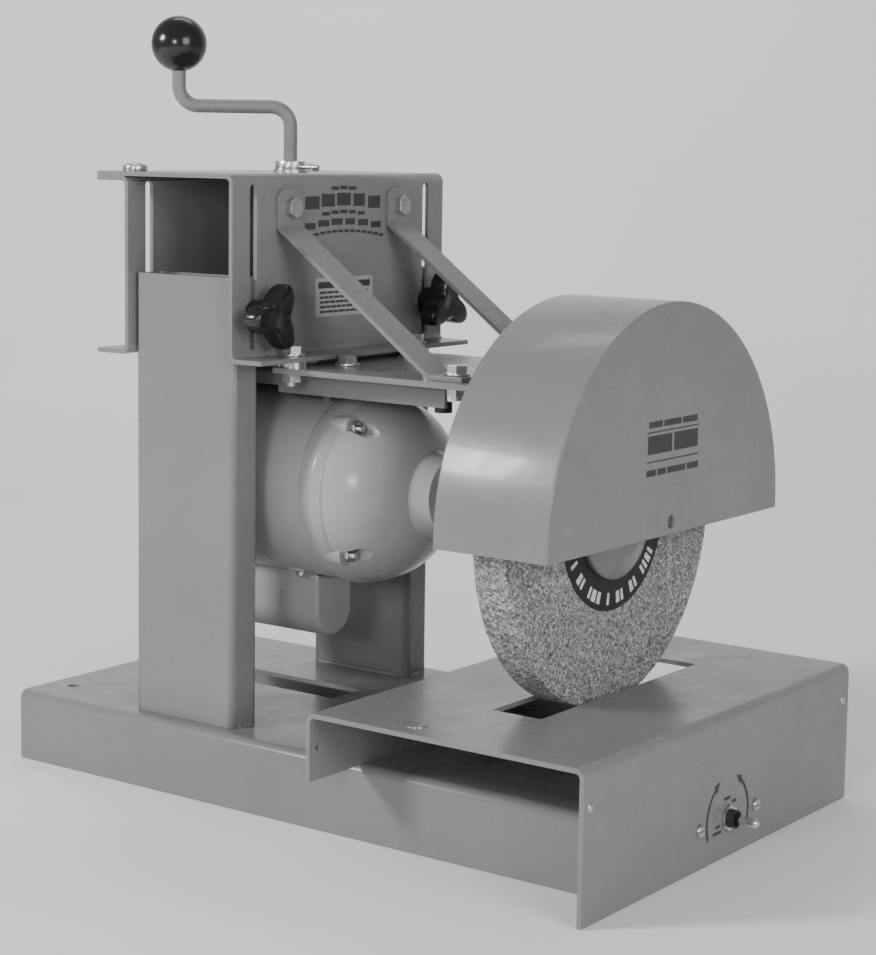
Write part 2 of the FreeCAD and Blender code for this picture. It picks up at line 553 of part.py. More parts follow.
def crank_rod():
    """Round bar with two bends, from the collar up to the ball."""
    turn = math.radians(CRANK_TURN)
    out = V(math.cos(turn), math.sin(turn), 0)
    foot = V(POST_MID_X, 0, BRACKET_TOP + BUSH_FLANGE_T + 4)
    low, high = V(POST_MID_X, 0, CRANK_ARM_Z), V(POST_MID_X, 0, CRANK_ARM_Z) + out * CRANK_THROW
    r, k = CRANK_BEND_R, CRANK_BEND_R * (1 - math.sqrt(0.5))
    mid1 = low - Z * k + out * k
    mid2 = high - out * k + Z * k
    top = V(high.x, high.y, BALL_Z - BALL_R * 0.55)
    path = Part.Wire([
        Part.LineSegment(foot, low - Z * r).toShape(),
        Part.Arc(low - Z * r, mid1, low + out * r).toShape(),
        Part.LineSegment(low + out * r, high - out * r).toShape(),
        Part.Arc(high - out * r, mid2, high + Z * r).toShape(),
        Part.LineSegment(high + Z * r, top).toShape()])
    ring = Part.Wire(Part.makeCircle(CRANK_R, foot, Z))
    return path.makePipeShell([ring], True, False)


def crank_ball():
    turn = math.radians(CRANK_TURN)
    centre = V(POST_MID_X + CRANK_THROW * math.cos(turn), CRANK_THROW * math.sin(turn), BALL_Z)
    ball = Part.makeSphere(BALL_R, centre)
    return ball.cut(rod(CRANK_R + SEAT_GAP, centre - Z * (BALL_R + 1), Z, BALL_R * 0.45 + 1))


# ---- motor
def tie_spots():
    """Where the four through bolts run."""
    spots = []
    for i in range(4):
        angle = math.radians(TIE_TURN + 90 * i)
        spots.append((TIE_CIRCLE_R * math.cos(angle), AXIS_Z + TIE_CIRCLE_R * math.sin(angle)))
    return spots


def bell(joint, end, end_r, hub_r, bore_r, rise):
    """Domed end bell from the shell's joint to its outer end, with a bearing pocket."""
    way = 1 if end > joint else -1
    depth = abs(end - joint)

    def at(x, r):
        return V(joint + way * x, 0, AXIS_Z + r)

    knee = depth - 14.0
    outer = Part.Arc(at(0, SHELL_R), at(knee * 0.56, SHELL_R - rise), at(knee, end_r)).toShape()
    inner = Part.Arc(at(knee - BELL_WALL, end_r - BELL_WALL),
                     at(knee * 0.52, SHELL_R - rise - BELL_WALL), at(0, SHELL_R - BELL_WALL)).toShape()
    pocket = depth - 4.0 - BEARING_T
    steps = [(knee, end_r), (depth, hub_r), (depth, bore_r), (depth - 4.0, bore_r),
             (depth - 4.0, BEARING_R), (pocket, BEARING_R), (pocket, BEARING_R + 5),
             (knee - BELL_WALL, BEARING_R + 5), (knee - BELL_WALL, end_r - BELL_WALL)]
    lines = [Part.LineSegment(at(*a), at(*b)).toShape() for a, b in zip(steps, steps[1:])]
    rim = Part.LineSegment(at(0, SHELL_R - BELL_WALL), at(0, SHELL_R)).toShape()
    face = Part.Face(Part.Wire([outer] + lines + [inner, rim]))
    core = [Part.LineSegment(at(knee, end_r), at(knee, 0)).toShape(),
            Part.LineSegment(at(knee, 0), at(0, 0)).toShape(),
            Part.LineSegment(at(0, 0), at(0, SHELL_R)).toShape()]
    dome = Part.Face(Part.Wire([outer] + core)).revolve(V(0, 0, AXIS_Z), X, 360)
    return face.revolve(V(0, 0, AXIS_Z), X, 360), dome


def motor_bells():
    rear, rear_dome = bell(SHELL_X0, REAR_END, 42.0, 36.0, SHAFT_R + 1, 11.0)
    drive, drive_dome = bell(SHELL_X1, DRIVE_END, 31.0, 26.0, SHAFT_R + 1, 9.5)
    for y, z in tie_spots():
        hole = rod(TIE_R + SEAT_GAP, V(REAR_END, y, z), X, DRIVE_END - REAR_END)
        boss = rod(BOSS_R, V(REAR_END, y, z), X, DRIVE_END - REAR_END)
        drive = drive.fuse([boss.common(drive_dome), rod(BOSS_R, V(SHELL_X1, y, z), X, TIE_SEAT_X - SHELL_X1)])
        rear = rear.fuse([boss.common(rear_dome), rod(BOSS_R, V(TIE_HEAD_X, y, z), X, SHELL_X0 - TIE_HEAD_X)])
        drive, rear = drive.cut(hole), rear.cut(hole)
        drive = drive.cut(rod(TIE_POCKET_R, V(TIE_SEAT_X, y, z), X, DRIVE_END - TIE_SEAT_X))
        rear = rear.cut(rod(TIE_POCKET_R, V(REAR_END, y, z), X, TIE_HEAD_X - REAR_END))
    return rear.removeSplitter(), drive.removeSplitter()


def motor_shell():
    return tube(SHELL_R, SHELL_R - SHELL_T, V(SHELL_X0, 0, AXIS_Z), X, SHELL_X1 - SHELL_X0)


def through_bolts():
    """Four rods that draw the two bells together, with a nut at the drive end."""
    start = TIE_HEAD_X
    rods = []
    for y, z in tie_spots():
        shank = rod(TIE_R, V(start, y, z), X, TIE_SEAT_X + 9 - start)
        head = hexagon(8.5, V(start - 4, y, z), X, 4)
        end_nut = hexagon(8.5, V(TIE_SEAT_X, y, z), X, 4.6)
        rods.append(fuse([shank, head, end_nut]))
    return Part.makeCompound(rods)


def motor_base():
    """Folded foot under the motor plate, with two ribs that carry the shell."""
    half, top = MOTOR_BASE_HALF, PLATE_UNDER
    x0, xs, x1 = MOTOR_BASE_X0, MOTOR_BASE_STEP_X, MOTOR_BASE_X1
    deep = box(xs, x1, -half, half, top - MOTOR_BASE_SKIRT, top)
    shallow = box(x0, xs, -half, half, top - MOTOR_BASE_LIP, top)
    body = fuse([deep, shallow])
    body = folds(body, X, [V(0, -half, top), V(0, half, top)], BEND_IN + SHEET - 1.0)
    inside = box(x0 - 1, x1 + 1, SHEET - half, half - SHEET, top - 40, top - SHEET)
    body = body.cut(inside)
    for x in (x0 + 18, xs + 22):
        rib = box(x, x + 2 * SHEET, -RIB_HALF, RIB_HALF, AXIS_Z, top - SHEET)
        body = body.fuse(rib)
    body = body.removeSplitter()
    body = body.cut(rod(SHELL_R + SEAT_GAP, V(x0 - 5, 0, AXIS_Z), X, x1 - x0 + 10))
    for x in MOTOR_BOLT_X:
        for y in (-MOTOR_BOLT_Y, MOTOR_BOLT_Y):
            body = body.cut(rod(BOLT_R + HOLE_CLEAR, V(x, y, top - 5), Z, 10))
    return body


def motor_bolts():
    """Bolts and nuts between the motor plate and the motor base."""
    parts = []
    for x in MOTOR_BOLT_X:
        for y in (-MOTOR_BOLT_Y, MOTOR_BOLT_Y):
            parts.append(bolt(V(x, y, PLATE_TOP), -Z, PLATE_T + SHEET + NUT_H + 1))
            parts.append(nut(V(x, y, PLATE_UNDER - SHEET), -Z))
    return Part.makeCompound(parts)


def capacitor_section(grow, x0, x1):
    """Block with a half-round underside, grown or shrunk by a wall."""
    r = CAN_HALF_W + grow
    centre_z = CAN_BOTTOM + CAN_HALF_W
    return fuse([box(x0, x1, -r, r, centre_z, AXIS_Z - 30), rod(r, V(x0, 0, centre_z), X, x1 - x0)])


def capacitor_cover():
    shell_line = V(CAN_X0 - 5, 0, AXIS_Z)
    length = CAN_X1 - CAN_X0 + 10
    outside = capacitor_section(0, CAN_X0, CAN_X1)
    outside = outside.cut(rod(SHELL_R + SEAT_GAP, shell_line, X, length))
    ends = [e for e in outside.Edges
            if abs(e.BoundBox.XMin - e.BoundBox.XMax) < 1e-6 and e.BoundBox.ZMax < AXIS_Z - SHELL_R + 4]
    outside = outside.makeFillet(3.0, ends)
    cover = outside.cut(capacitor_section(-CAN_WALL, CAN_X0 + CAN_WALL, CAN_X1 - CAN_WALL))
    r0, r1 = SHELL_R + SEAT_GAP, SHELL_R + SEAT_GAP + CAN_WALL
    lips = tube(r1, r0, shell_line, X, length)
    ears = [box(x - 7, x + 7, -33, -CAN_HALF_W + 1, AXIS_Z - SHELL_R - 2, AXIS_Z) for x in COVER_SCREW_X]
    cover = fuse([cover] + [lips.common(ear) for ear in ears])
    for x in COVER_SCREW_X:
        cover = cover.cut(screw_line(x, SCREW4_R + SEAT_GAP, 8))
    return cover


COVER_SCREW_X = (SHELL_X0 + 12.0, CAN_X1 - 9.0)
COVER_SCREW_Y = -27.0
COVER_SCREW_LEN = 4.4


def screw_line(x, r, length):
    """Cylinder through the shell's wall at a cover screw, along the radius."""
    drop = math.sqrt(SHELL_R ** 2 - COVER_SCREW_Y ** 2)
    out = V(0, COVER_SCREW_Y, -drop).normalize()
    return rod(r, V(x, 0, AXIS_Z) + out * (SHELL_R - length / 2), out, length)


def cover_screws():
    screws = []
    for x in COVER_SCREW_X:
        drop = math.sqrt(SHELL_R ** 2 - COVER_SCREW_Y ** 2)
        out = V(0, COVER_SCREW_Y, -drop).normalize()
        seat = V(x, 0, AXIS_Z) + out * (SHELL_R + SEAT_GAP + CAN_WALL)
        screws.append(fuse([rod(SCREW4_HEAD_R, seat, out, 2.4), rod(SCREW4_R, seat - out * COVER_SCREW_LEN, out, COVER_SCREW_LEN)]))
    return Part.makeCompound(screws)


def shell_holes(shape):
    """Tapped holes for the cover screws, and the lead hole under the cover."""
    for x in COVER_SCREW_X:
        shape = shape.cut(screw_line(x, SCREW4_R + SEAT_GAP, 10))
    return shape.cut(rod(6.0, V((CAN_X0 + CAN_X1) / 2, 0, AXIS_Z - SHELL_R - 3), Z, 8))


def stator_core():
    core = tube(SHELL_R - SHELL_T - SEAT_GAP, STATOR_BORE_R, V(STATOR_X0, 0, AXIS_Z), X,
                STATOR_X1 - STATOR_X0)
    for y, z in tie_spots():
        core = core.cut(rod(TIE_NOTCH_R, V(STATOR_X0 - 1, y, z), X, STATOR_X1 - STATOR_X0 + 2))
    return core


def stator_windings():
    r0, r1 = STATOR_BORE_R + 3, TIE_CIRCLE_R - TIE_R - 6
    coils = []
    for x in (STATOR_X0 - 18, STATOR_X1):
        ring = tube(r1, r0, V(x, 0, AXIS_Z), X, 18)
        outer = [e for e in ring.Edges if e.Curve.TypeId == "Part::GeomCircle"]
        coils.append(ring.makeFillet(3.5, outer))
    return Part.makeCompound(coils)


def bearing(x):
    """Sealed ball bearing, drawn as its rings with the seals between them."""
    start = V(x, 0, AXIS_Z)
    body = tube(BEARING_R - RUN_FIT, JOURNAL_R + RUN_FIT, start, X, BEARING_T)
    groove = tube(BEARING_R - 3.5, JOURNAL_R + 3.5, start - X, X, 1.8)
    return body.cut(groove).cut(groove.translated(V(BEARING_T + 0.2, 0, 0)))


START_PLATE_X = SHELL_X0 - (SHELL_X0 - REAR_END - 14.0 - BELL_WALL)


def start_switch():
    """Stationary contact plate of the start switch on the rear bell's hub."""
    return tube(BEARING_R + 14, SHAFT_R + 3, V(START_PLATE_X, 0, AXIS_Z), X, 3.0)


def governor():
    hub = tube(14.0, SHAFT_R + RUN_FIT, V(START_PLATE_X + 8, 0, AXIS_Z), X, 12.0)
    arms = box(START_PLATE_X + 10, START_PLATE_X + 14, -26, 26, AXIS_Z - 4, AXIS_Z + 4)
    bore = rod(SHAFT_R + RUN_FIT, V(START_PLATE_X, 0, AXIS_Z), X, 40)
    return fuse([hub, arms.cut(bore)])


def lead_grommet():
    """Rubber grommet on the motor base's skirt where the leads leave."""
    spot = V(MOTOR_BASE_X1 - 8, -MOTOR_BASE_HALF + SHEET + 6.5, PLATE_UNDER - MOTOR_BASE_SKIRT - 4)
    ring = tube(6.0, 3.0, spot, Z, 7.0)
    stem = box(spot.x - 3, spot.x + 3, -MOTOR_BASE_HALF + SHEET, spot.y - 3.5, spot.z + 4, spot.z + 9)
    return fuse([ring, stem])


# ---- spindle
def motor_shaft():
    journal = BEARING_T + 2
    steps = [(REAR_END + 2, 0), (REAR_END + 2, JOURNAL_R), (REAR_END + 2 + journal, JOURNAL_R),
             (REAR_END + 2 + journal, SHAFT_R), (DRIVE_END - 2 - journal, SHAFT_R),
             (DRIVE_END - 2 - journal, JOURNAL_R), (INNER_FLANGE_X0 - 6, JOURNAL_R),
             (INNER_FLANGE_X0 - 6, ARBOR_R + 3.0), (INNER_FLANGE_X0, ARBOR_R + 3.0),
             (INNER_FLANGE_X0, ARBOR_R), (SPINDLE_END - 1, ARBOR_R), (SPINDLE_END, ARBOR_R - 1),
             (SPINDLE_END, 0)]
    return spun(steps, AXIS_Z)


ARBOR_NUT_T = 12.0
SPINDLE_END = OUTER_FLANGE_X1 + ARBOR_NUT_T + 5.0


def rotor_core():
    bore = SHAFT_R + RUN_FIT
    core = tube(STATOR_BORE_R - AIR_GAP, bore, V(STATOR_X0 - 2, 0, AXIS_Z), X, STATOR_X1 - STATOR_X0 + 4)
    parts = [core]
    for i in range(10):
        angle = math.radians(36 * i)
        mid = V(0, math.cos(angle), math.sin(angle)) * (STATOR_BORE_R - 9)
        for x in (STATOR_X0 - 9, STATOR_X1 + 2):
            fin = box(x, x + 7, -4.5, 4.5, -1.0, 1.0)
            fin.rotate(V(0, 0, 0), X, 36 * i)
            fin.translate(mid + V(0, 0, AXIS_Z))
            parts.append(fin)
    return fuse(parts)


def wheel_flange(x, way):
    """Relieved clamping flange; way is the side its bearing rim faces."""
    back = x if way > 0 else x + FLANGE_T
    rim = back + way * FLANGE_T
    steps = [(back, ARBOR_R + RUN_FIT), (back, FLANGE_R - 14), (back + way * 3.0, FLANGE_R - 4),
             (back + way * 4.5, FLANGE_R), (rim, FLANGE_R), (rim, FLANGE_R - 10),
             (rim - way * 1.5, FLANGE_R - 11), (rim - way * 1.5, ARBOR_R + 5), (rim, ARBOR_R + 4.5),
             (rim, ARBOR_R + RUN_FIT)]
    return spun(steps, AXIS_Z)


def grinding_wheel():
    edge, bore = 1.0, ARBOR_R + RUN_FIT
    steps = [(WHEEL_X0, bore), (WHEEL_X0, WHEEL_R - edge), (WHEEL_X0 + edge, WHEEL_R),
             (WHEEL_X1 - edge, WHEEL_R), (WHEEL_X1, WHEEL_R - edge), (WHEEL_X1, bore)]
    return spun(steps, AXIS_Z)


def wheel_blotters():
    bore = ARBOR_R + RUN_FIT
    rings = [tube(BLOTTER_R, bore, V(x, 0, AXIS_Z), X, BLOTTER_T) for x in (WHEEL_X0 - BLOTTER_T, WHEEL_X1)]
    return Part.makeCompound(rings)


def wheel_guard():
    """Half-round guard, closed at both sides and open underneath."""

    def drum(x0, x1, r, bottom):
        upper = rod(r, V(x0, 0, AXIS_Z), X, x1 - x0)
        upper = upper.common(box(x0, x1, -r, r, AXIS_Z, AXIS_Z + r))
        return fuse([upper, box(x0, x1, -r, r, bottom, AXIS_Z)])

    outside = drum(GUARD_X0, GUARD_X1, GUARD_R, GUARD_BOTTOM)
    rims = [e for e in outside.Edges if e.BoundBox.ZMax > AXIS_Z + GUARD_R - 1
            and abs(e.BoundBox.XMax - e.BoundBox.XMin) < 1e-6]
    outside = outside.makeFillet(1.6, rims)
    body = outside.cut(drum(GUARD_X0 + SHEET, GUARD_X1 - SHEET, GUARD_R - SHEET, GUARD_BOTTOM - 1))
    way = 26.0
    body = body.cut(box(GUARD_X0 - 1, GUARD_X0 + SHEET + 1, -way, way, GUARD_BOTTOM - 1, AXIS_Z))
    body = body.cut(rod(way, V(GUARD_X0 - 1, 0, AXIS_Z), X, SHEET + 2))
    body = body.cut(rod(4.5, V(GUARD_X1 - 5, 0, AXIS_Z + 2), X, 10))
    for y in (-GUARD_BOLT_Y, GUARD_BOLT_Y):
        body = body.cut(rod(BOLT_R + HOLE_CLEAR, V(GUARD_X0 - 1, y, GUARD_BOLT_Z), X, SHEET + 2))
    return body


GUARD_BOLT_Z = PLATE_TOP + 0.62 * GUARD_LUG


def guard_bracket():
    """Angle on the motor plate's end that carries the guard."""
    half = GUARD_BOLT_Y + 15
    x0, x1, z0, z1 = PLATE_X1 - GUARD_LUG, GUARD_X0, PLATE_TOP, PLATE_TOP + GUARD_LUG
    body = prism([V(x0, -half, z0), V(x1, -half, z0), V(x1, -half, z1), V(x1 - SHEET, -half, z1),
                  V(x1 - SHEET, -half, z0 + SHEET), V(x0, -half, z0 + SHEET)], V(0, 2 * half, 0))
    for y in (-GUARD_BOLT_Y, GUARD_BOLT_Y):
        body = body.cut(rod(BOLT_R + HOLE_CLEAR, V(GUARD_BOLT_X, y, z0 - 1), Z, SHEET + 2))
        body = body.cut(rod(BOLT_R + HOLE_CLEAR, V(x1 - SHEET - 1, y, GUARD_BOLT_Z), X, SHEET + 2))
    return body


def guard_bolts():
    parts = []
    for y in (-GUARD_BOLT_Y, GUARD_BOLT_Y):
        down = V(GUARD_BOLT_X, y, PLATE_TOP + SHEET)
        parts.append(bolt(down, -Z, SHEET + PLATE_T + NUT_H + 1, washer=False))
        parts.append(nut(V(GUARD_BOLT_X, y, PLATE_UNDER), -Z))
        back = V(GUARD_X0 - SHEET, y, GUARD_BOLT_Z)
        parts.append(bolt(back, X, 2 * SHEET + NUT_H, washer=False))
        parts.append(nut(V(GUARD_X0 + SHEET, y, GUARD_BOLT_Z), X, height=5.0))
    return Part.makeCompound(parts)


def main():
    os.makedirs("parts", exist_ok=True)
    save("base", base())
    save("front_post", post(-1))
    save("rear_post", post(1))
    bar, lift_nut = lift_nut_parts()
    save("nut_bridge", bar)
    save("lift_nut", lift_nut)
    save("work_table", work_table())
    save("table_plug", table_plug())
    save("switch_box", switch_box())
    save("switch_body", switch_body())
    save("switch_nut", switch_nut())
    save("switch_screws", Part.makeCompound([switch_screw(SWITCH_Y - SWITCH_SCREW_Y),
                                             switch_screw(SWITCH_Y + SWITCH_SCREW_Y)]))
    save("toggle_lever", toggle_lever())
    save("clamp_bolts", both_sides(clamp_bolt, CLAMP_Y))
    save("clamp_washers", both_sides(clamp_washers, CLAMP_Y))
    for name, y, turn in (("front_knob", -CLAMP_Y, 80.0), ("rear_knob", CLAMP_Y, 20.0)):
        save(name, knob(y, turn))
        save(name + "_insert", knob_insert(y))
    save("lift_bracket", lift_bracket())
    save("back_channel", back_channel())
    save("channel_bolts", both_sides(channel_bolt, CHANNEL_BOLT_Y))
    save("screw_bushing", screw_bushing())
    save("motor_plate", motor_plate())
    save("plate_spacers", both_sides(flange_spacer, FLANGE_BOLT_Y))
    save("plate_bolts", both_sides(flange_bolt, FLANGE_BOLT_Y))
    save("brace_front", brace(-1))
    save("brace_rear", brace(1))
    save("brace_bolts", both_sides(brace_bolts, STRAP_Y))
    save("carriage_nuts", carriage_nuts())
    save("lead_screw", lead_screw())
    save("screw_collars", screw_collars())
    save("collar_pin", pin_shape(0))
    save("crank_rod", crank_rod())
    save("crank_ball", crank_ball())
    rear_bell, drive_bell = motor_bells()
    save("rear_end_bell", rear_bell)
    save("drive_end_bell", drive_bell)
    save("motor_shell", shell_holes(motor_shell()))
    save("through_bolts", through_bolts())
    save("motor_base", motor_base())
    save("motor_bolts", motor_bolts())
    save("capacitor_cover", capacitor_cover())
    save("start_capacitor", rod(CAN_HALF_W - CAN_WALL - SEAT_GAP,
                                V(CAN_X0 + 12, 0, CAN_BOTTOM + CAN_HALF_W), X, 92))
    save("cover_screws", cover_screws())
    save("stator_core", stator_core())
    save("stator_windings", stator_windings())
    save("drive_bearing", bearing(DRIVE_END - 4.0 - BEARING_T))
    save("rear_bearing", bearing(REAR_END + 4.0))
    save("start_switch", start_switch())
    save("governor", governor())
    save("lead_grommet", lead_grommet())
    save("motor_shaft", motor_shaft())
    save("rotor_core", rotor_core())
    save("inner_flange", wheel_flange(INNER_FLANGE_X0, 1))
    save("grinding_wheel", grinding_wheel())
    save("wheel_blotters", wheel_blotters())
    save("outer_flange", wheel_flange(WHEEL_X1 + BLOTTER_T, -1))
    save("arbor_nut", nut(V(OUTER_FLANGE_X1, 0, AXIS_Z), X, ARBOR_R + RUN_FIT, 24.0, ARBOR_NUT_T))
    save("wheel_guard", wheel_guard())
    save("guard_bracket", guard_bracket())
    save("guard_bolts", guard_bolts())


main()
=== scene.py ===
"""Looks of a rotary blade grinder: enamelled sheet steel, grit wheel, black knobs, plated bolts.

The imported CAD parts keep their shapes.  Pieces that need finer work than CAD gives, such as
the wheel's grit, the knobs, the screw's thread, the welds and the printed marks, are made here.
All lengths are in metres.
"""
import json
import math
import random

import bmesh
import bpy
from mathutils import Matrix, Vector, noise


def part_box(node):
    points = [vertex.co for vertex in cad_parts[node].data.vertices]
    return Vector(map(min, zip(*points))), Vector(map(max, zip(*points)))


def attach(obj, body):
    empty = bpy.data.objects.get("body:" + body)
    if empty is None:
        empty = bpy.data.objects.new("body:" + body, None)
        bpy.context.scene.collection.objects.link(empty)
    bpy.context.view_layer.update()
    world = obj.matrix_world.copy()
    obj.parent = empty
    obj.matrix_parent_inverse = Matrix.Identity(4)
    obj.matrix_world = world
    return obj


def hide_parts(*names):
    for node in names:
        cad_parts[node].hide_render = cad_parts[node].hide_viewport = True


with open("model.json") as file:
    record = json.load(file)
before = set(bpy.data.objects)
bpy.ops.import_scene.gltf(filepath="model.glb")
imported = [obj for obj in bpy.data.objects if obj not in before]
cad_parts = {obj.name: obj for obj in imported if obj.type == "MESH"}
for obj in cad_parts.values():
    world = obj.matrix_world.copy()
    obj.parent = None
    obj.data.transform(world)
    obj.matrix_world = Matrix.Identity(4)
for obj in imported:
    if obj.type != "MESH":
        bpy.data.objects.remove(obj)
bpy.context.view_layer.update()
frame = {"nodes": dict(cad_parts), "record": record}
NODES = frame["nodes"]
MM = 0.001
X, Y, Z = Vector((1, 0, 0)), Vector((0, 1, 0)), Vector((0, 0, 1))

# ---- places taken from the CAD parts
low = {name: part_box(name)[0] for name in NODES}
high = {name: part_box(name)[1] for name in NODES}


def middle(name):
    """Centre of a CAD part's box."""
    return (low[name] + high[name]) / 2


SPINDLE = middle("grinding_wheel")
WHEEL_R = (high["grinding_wheel"].z - low["grinding_wheel"].z) / 2
PLATE_X = low["brace_front"].x              # outer face of the bracket's right plate
END_X = high["work_table"].x                # outer face of the table's end flange
BASE_TOP = low["front_post"].z

# ---- sizes shared by several pieces
INK = 0.06 * MM                             # thickness of printed marks
LABEL = 0.10 * MM                           # thickness of the rating label
ROUND = 160                                 # steps round the motor shell's ridge and bead


# ---- shader building
class Value:
    """A shader socket that adds Math nodes when it is used in an expression."""

    def __init__(self, paint, socket):
        self.paint, self.socket = paint, socket

    def _math(self, operation, a, b):
        return self.paint.node("ShaderNodeMath", {"operation": operation}, {0: a, 1: b})

    def __add__(self, other):
        return self._math("ADD", self, other)

    def __mul__(self, other):
        return self._math("MULTIPLY", self, other)

    def __gt__(self, other):
        return self._math("GREATER_THAN", self, other)


class Paint:
    """One material: constants sit on the shader, varying values are linked to it."""

    def __init__(self, name, metallic=0.0, **constants):
        self.material = bpy.data.materials.new(name)
        self.material.use_nodes = True
        self.tree = self.material.node_tree
        self.shader = self.tree.nodes["Principled BSDF"]
        self.shader.inputs["Metallic"].default_value = metallic
        for socket, value in constants.items():
            self.shader.inputs[socket.replace("_", " ")].default_value = value
        place = self.tree.nodes.new("ShaderNodeTexCoord")
        self.place = Value(self, place.outputs["Object"])

    def node(self, kind, settings, inputs, output=0):
        """Any other node, with its settings made first and then its inputs."""
        made = self.tree.nodes.new(kind)
        for key, value in settings.items():
            if key == "stops":
                ramp = made.color_ramp
                while len(ramp.elements) < len(value):
                    ramp.elements.new(0.5)
                for stop, (at, shade) in zip(ramp.elements, value):
                    stop.position = at
                    stop.color = grey(shade) if isinstance(shade, float) else shade
            else:
                setattr(made, key, value)
        for key, value in inputs.items():
            if isinstance(value, Value):
                self.tree.links.new(value.socket, made.inputs[key])
            else:
                made.inputs[key].default_value = value
        return Value(self, made.outputs[output])

    def noise(self, scale, detail=3.0, rough=0.5, at=None):
        return self.node("ShaderNodeTexNoise", {}, {"Vector": at or self.place, "Scale": scale,
                                                    "Detail": detail, "Roughness": rough})

    def cells(self, scale, output="Color"):
        return self.node("ShaderNodeTexVoronoi", {}, {"Vector": self.place, "Scale": scale}, output)

    def ramp(self, value, *stops):
        return self.node("ShaderNodeValToRGB", {"stops": stops}, {0: value})

    def spread(self, value, low_in, high_in, low_out, high_out):
        """A value stretched from one range to another and held inside it."""
        return self.node("ShaderNodeMapRange", {}, {"Value": value, "From Min": low_in,
                         "From Max": high_in, "To Min": low_out, "To Max": high_out})

    def blend(self, factor, first, second, how="MIX"):
        made = self.tree.nodes.new("ShaderNodeMix")
        made.data_type, made.blend_type = "RGBA", how
        for index, value in ((0, factor), (6, first), (7, second)):
            socket = made.inputs[index]
            if isinstance(value, Value):
                self.tree.links.new(value.socket, socket)
            else:
                socket.default_value = value
        return Value(self, made.outputs[2])

    def stretched(self, scale):
        """Object space stretched along the axes, for brushing and scratches."""
        return self.node("ShaderNodeMapping", {}, {"Vector": self.place, "Scale": scale})

    def colour(self, value):
        if isinstance(value, Value):
            self.tree.links.new(value.socket, self.shader.inputs["Base Color"])
        else:
            self.shader.inputs["Base Color"].default_value = value
        return self

    def roughness(self, value):
        self.tree.links.new(value.socket, self.shader.inputs["Roughness"])
        return self

    def bump(self, height, strength, depth):
        bumped = self.node("ShaderNodeBump", {}, {"Height": height, "Strength": strength,
                                                  "Distance": depth})
        self.tree.links.new(bumped.socket, self.shader.inputs["Normal"])
        return self.material


def grey(value):
    return (value, value, value, 1.0)


def enamel(name, tone, gloss):
    """Sprayed enamel on sheet steel: slight orange peel, handling haze and small dark specks."""
    paint = Paint(name, Coat_Weight=0.12, Coat_Roughness=0.08, IOR=1.36)
    cloud = paint.noise(9.0, 4.0, 0.6)
    haze = paint.noise(38.0, 5.0, 0.65)
    specks = paint.cells(260.0, "Distance") > 0.035
    streaks = paint.noise(60.0, 6.0, 0.7, paint.stretched((0.25, 1.0, 2.2)))
    rubbed = paint.spread(streaks, 0.62, 0.85, 0.0, 1.0)
    body = paint.blend(paint.spread(cloud, 0.3, 0.7, 0.0, 1.0), grey(tone * 0.93), grey(tone * 1.05))
    dusty = paint.blend(paint.spread(haze, 0.5, 0.8, 0.0, 0.35), body, grey(tone * 0.84))
    speckled = paint.blend(specks, grey(tone * 0.72), dusty)
    paint.colour(paint.blend(rubbed * 0.3, speckled, grey(tone * 1.16)))
    paint.roughness(paint.spread(haze, 0.3, 0.75, gloss, gloss + 0.14) + rubbed * 0.12)
    peel = paint.noise(520.0, 2.0, 0.5) * 0.5 + paint.noise(70.0, 2.0, 0.5)
    return paint.bump(peel, 0.22, 0.00022)


def plated(name, tone, gloss, grain=(1.0, 1.0, 1.0)):
    """Zinc-plated or bare steel with fine drawn lines and dull spots."""
    paint = Paint(name, metallic=1.0)
    lines = paint.noise(900.0, 3.0, 0.6, paint.stretched(grain))
    spots = paint.noise(140.0, 5.0, 0.6)
    dull = paint.spread(spots, 0.52, 0.72, 0.0, 1.0)
    paint.colour(paint.blend(dull, grey(tone), grey(tone * 0.62)))
    paint.roughness(paint.spread(lines, 0.3, 0.7, gloss, gloss + 0.12) + dull * 0.16)
    return paint.bump(lines, 0.25, 0.00008)


def moulded(name, tone, gloss):
    """Moulded black plastic: glossy, with faint flow marks and dust."""
    paint = Paint(name, IOR=1.5)
    flow = paint.noise(45.0, 4.0, 0.6)
    dust = paint.cells(520.0, "Distance") > 0.06
    paint.colour(paint.blend(dust, grey(tone * 5.0), grey(tone)))
    paint.roughness(paint.spread(flow, 0.3, 0.7, gloss, gloss + 0.16))
    return paint.bump(paint.noise(320.0, 2.0, 0.5), 0.12, 0.00012)


def grit(name):
    """Bonded abrasive: pale and dark grains with open pores."""
    paint = Paint(name, IOR=1.45)
    grain = paint.cells(640.0)
    fine = paint.cells(1200.0)
    value = paint.node("ShaderNodeSeparateColor", {}, {0: grain})
    small = paint.node("ShaderNodeSeparateColor", {}, {0: fine}, 1)
    coarse = paint.ramp(value, (0.0, 0.02), (0.24, 0.07), (0.48, 0.24), (0.80, 0.44), (1.0, 0.85))
    minute = paint.ramp(small, (0.0, 0.04), (0.40, 0.22), (1.0, 0.60))
    worn = paint.noise(26.0, 4.0, 0.6)
    mixed = paint.blend(0.38, coarse, minute)
    paint.colour(paint.blend(paint.spread(worn, 0.4, 0.7, 0.0, 0.30), mixed, grey(0.30)))
    paint.roughness(paint.spread(value, 0.0, 1.0, 0.95, 0.62))
    return paint.bump(value + small * 0.4, 0.75, 0.0006)


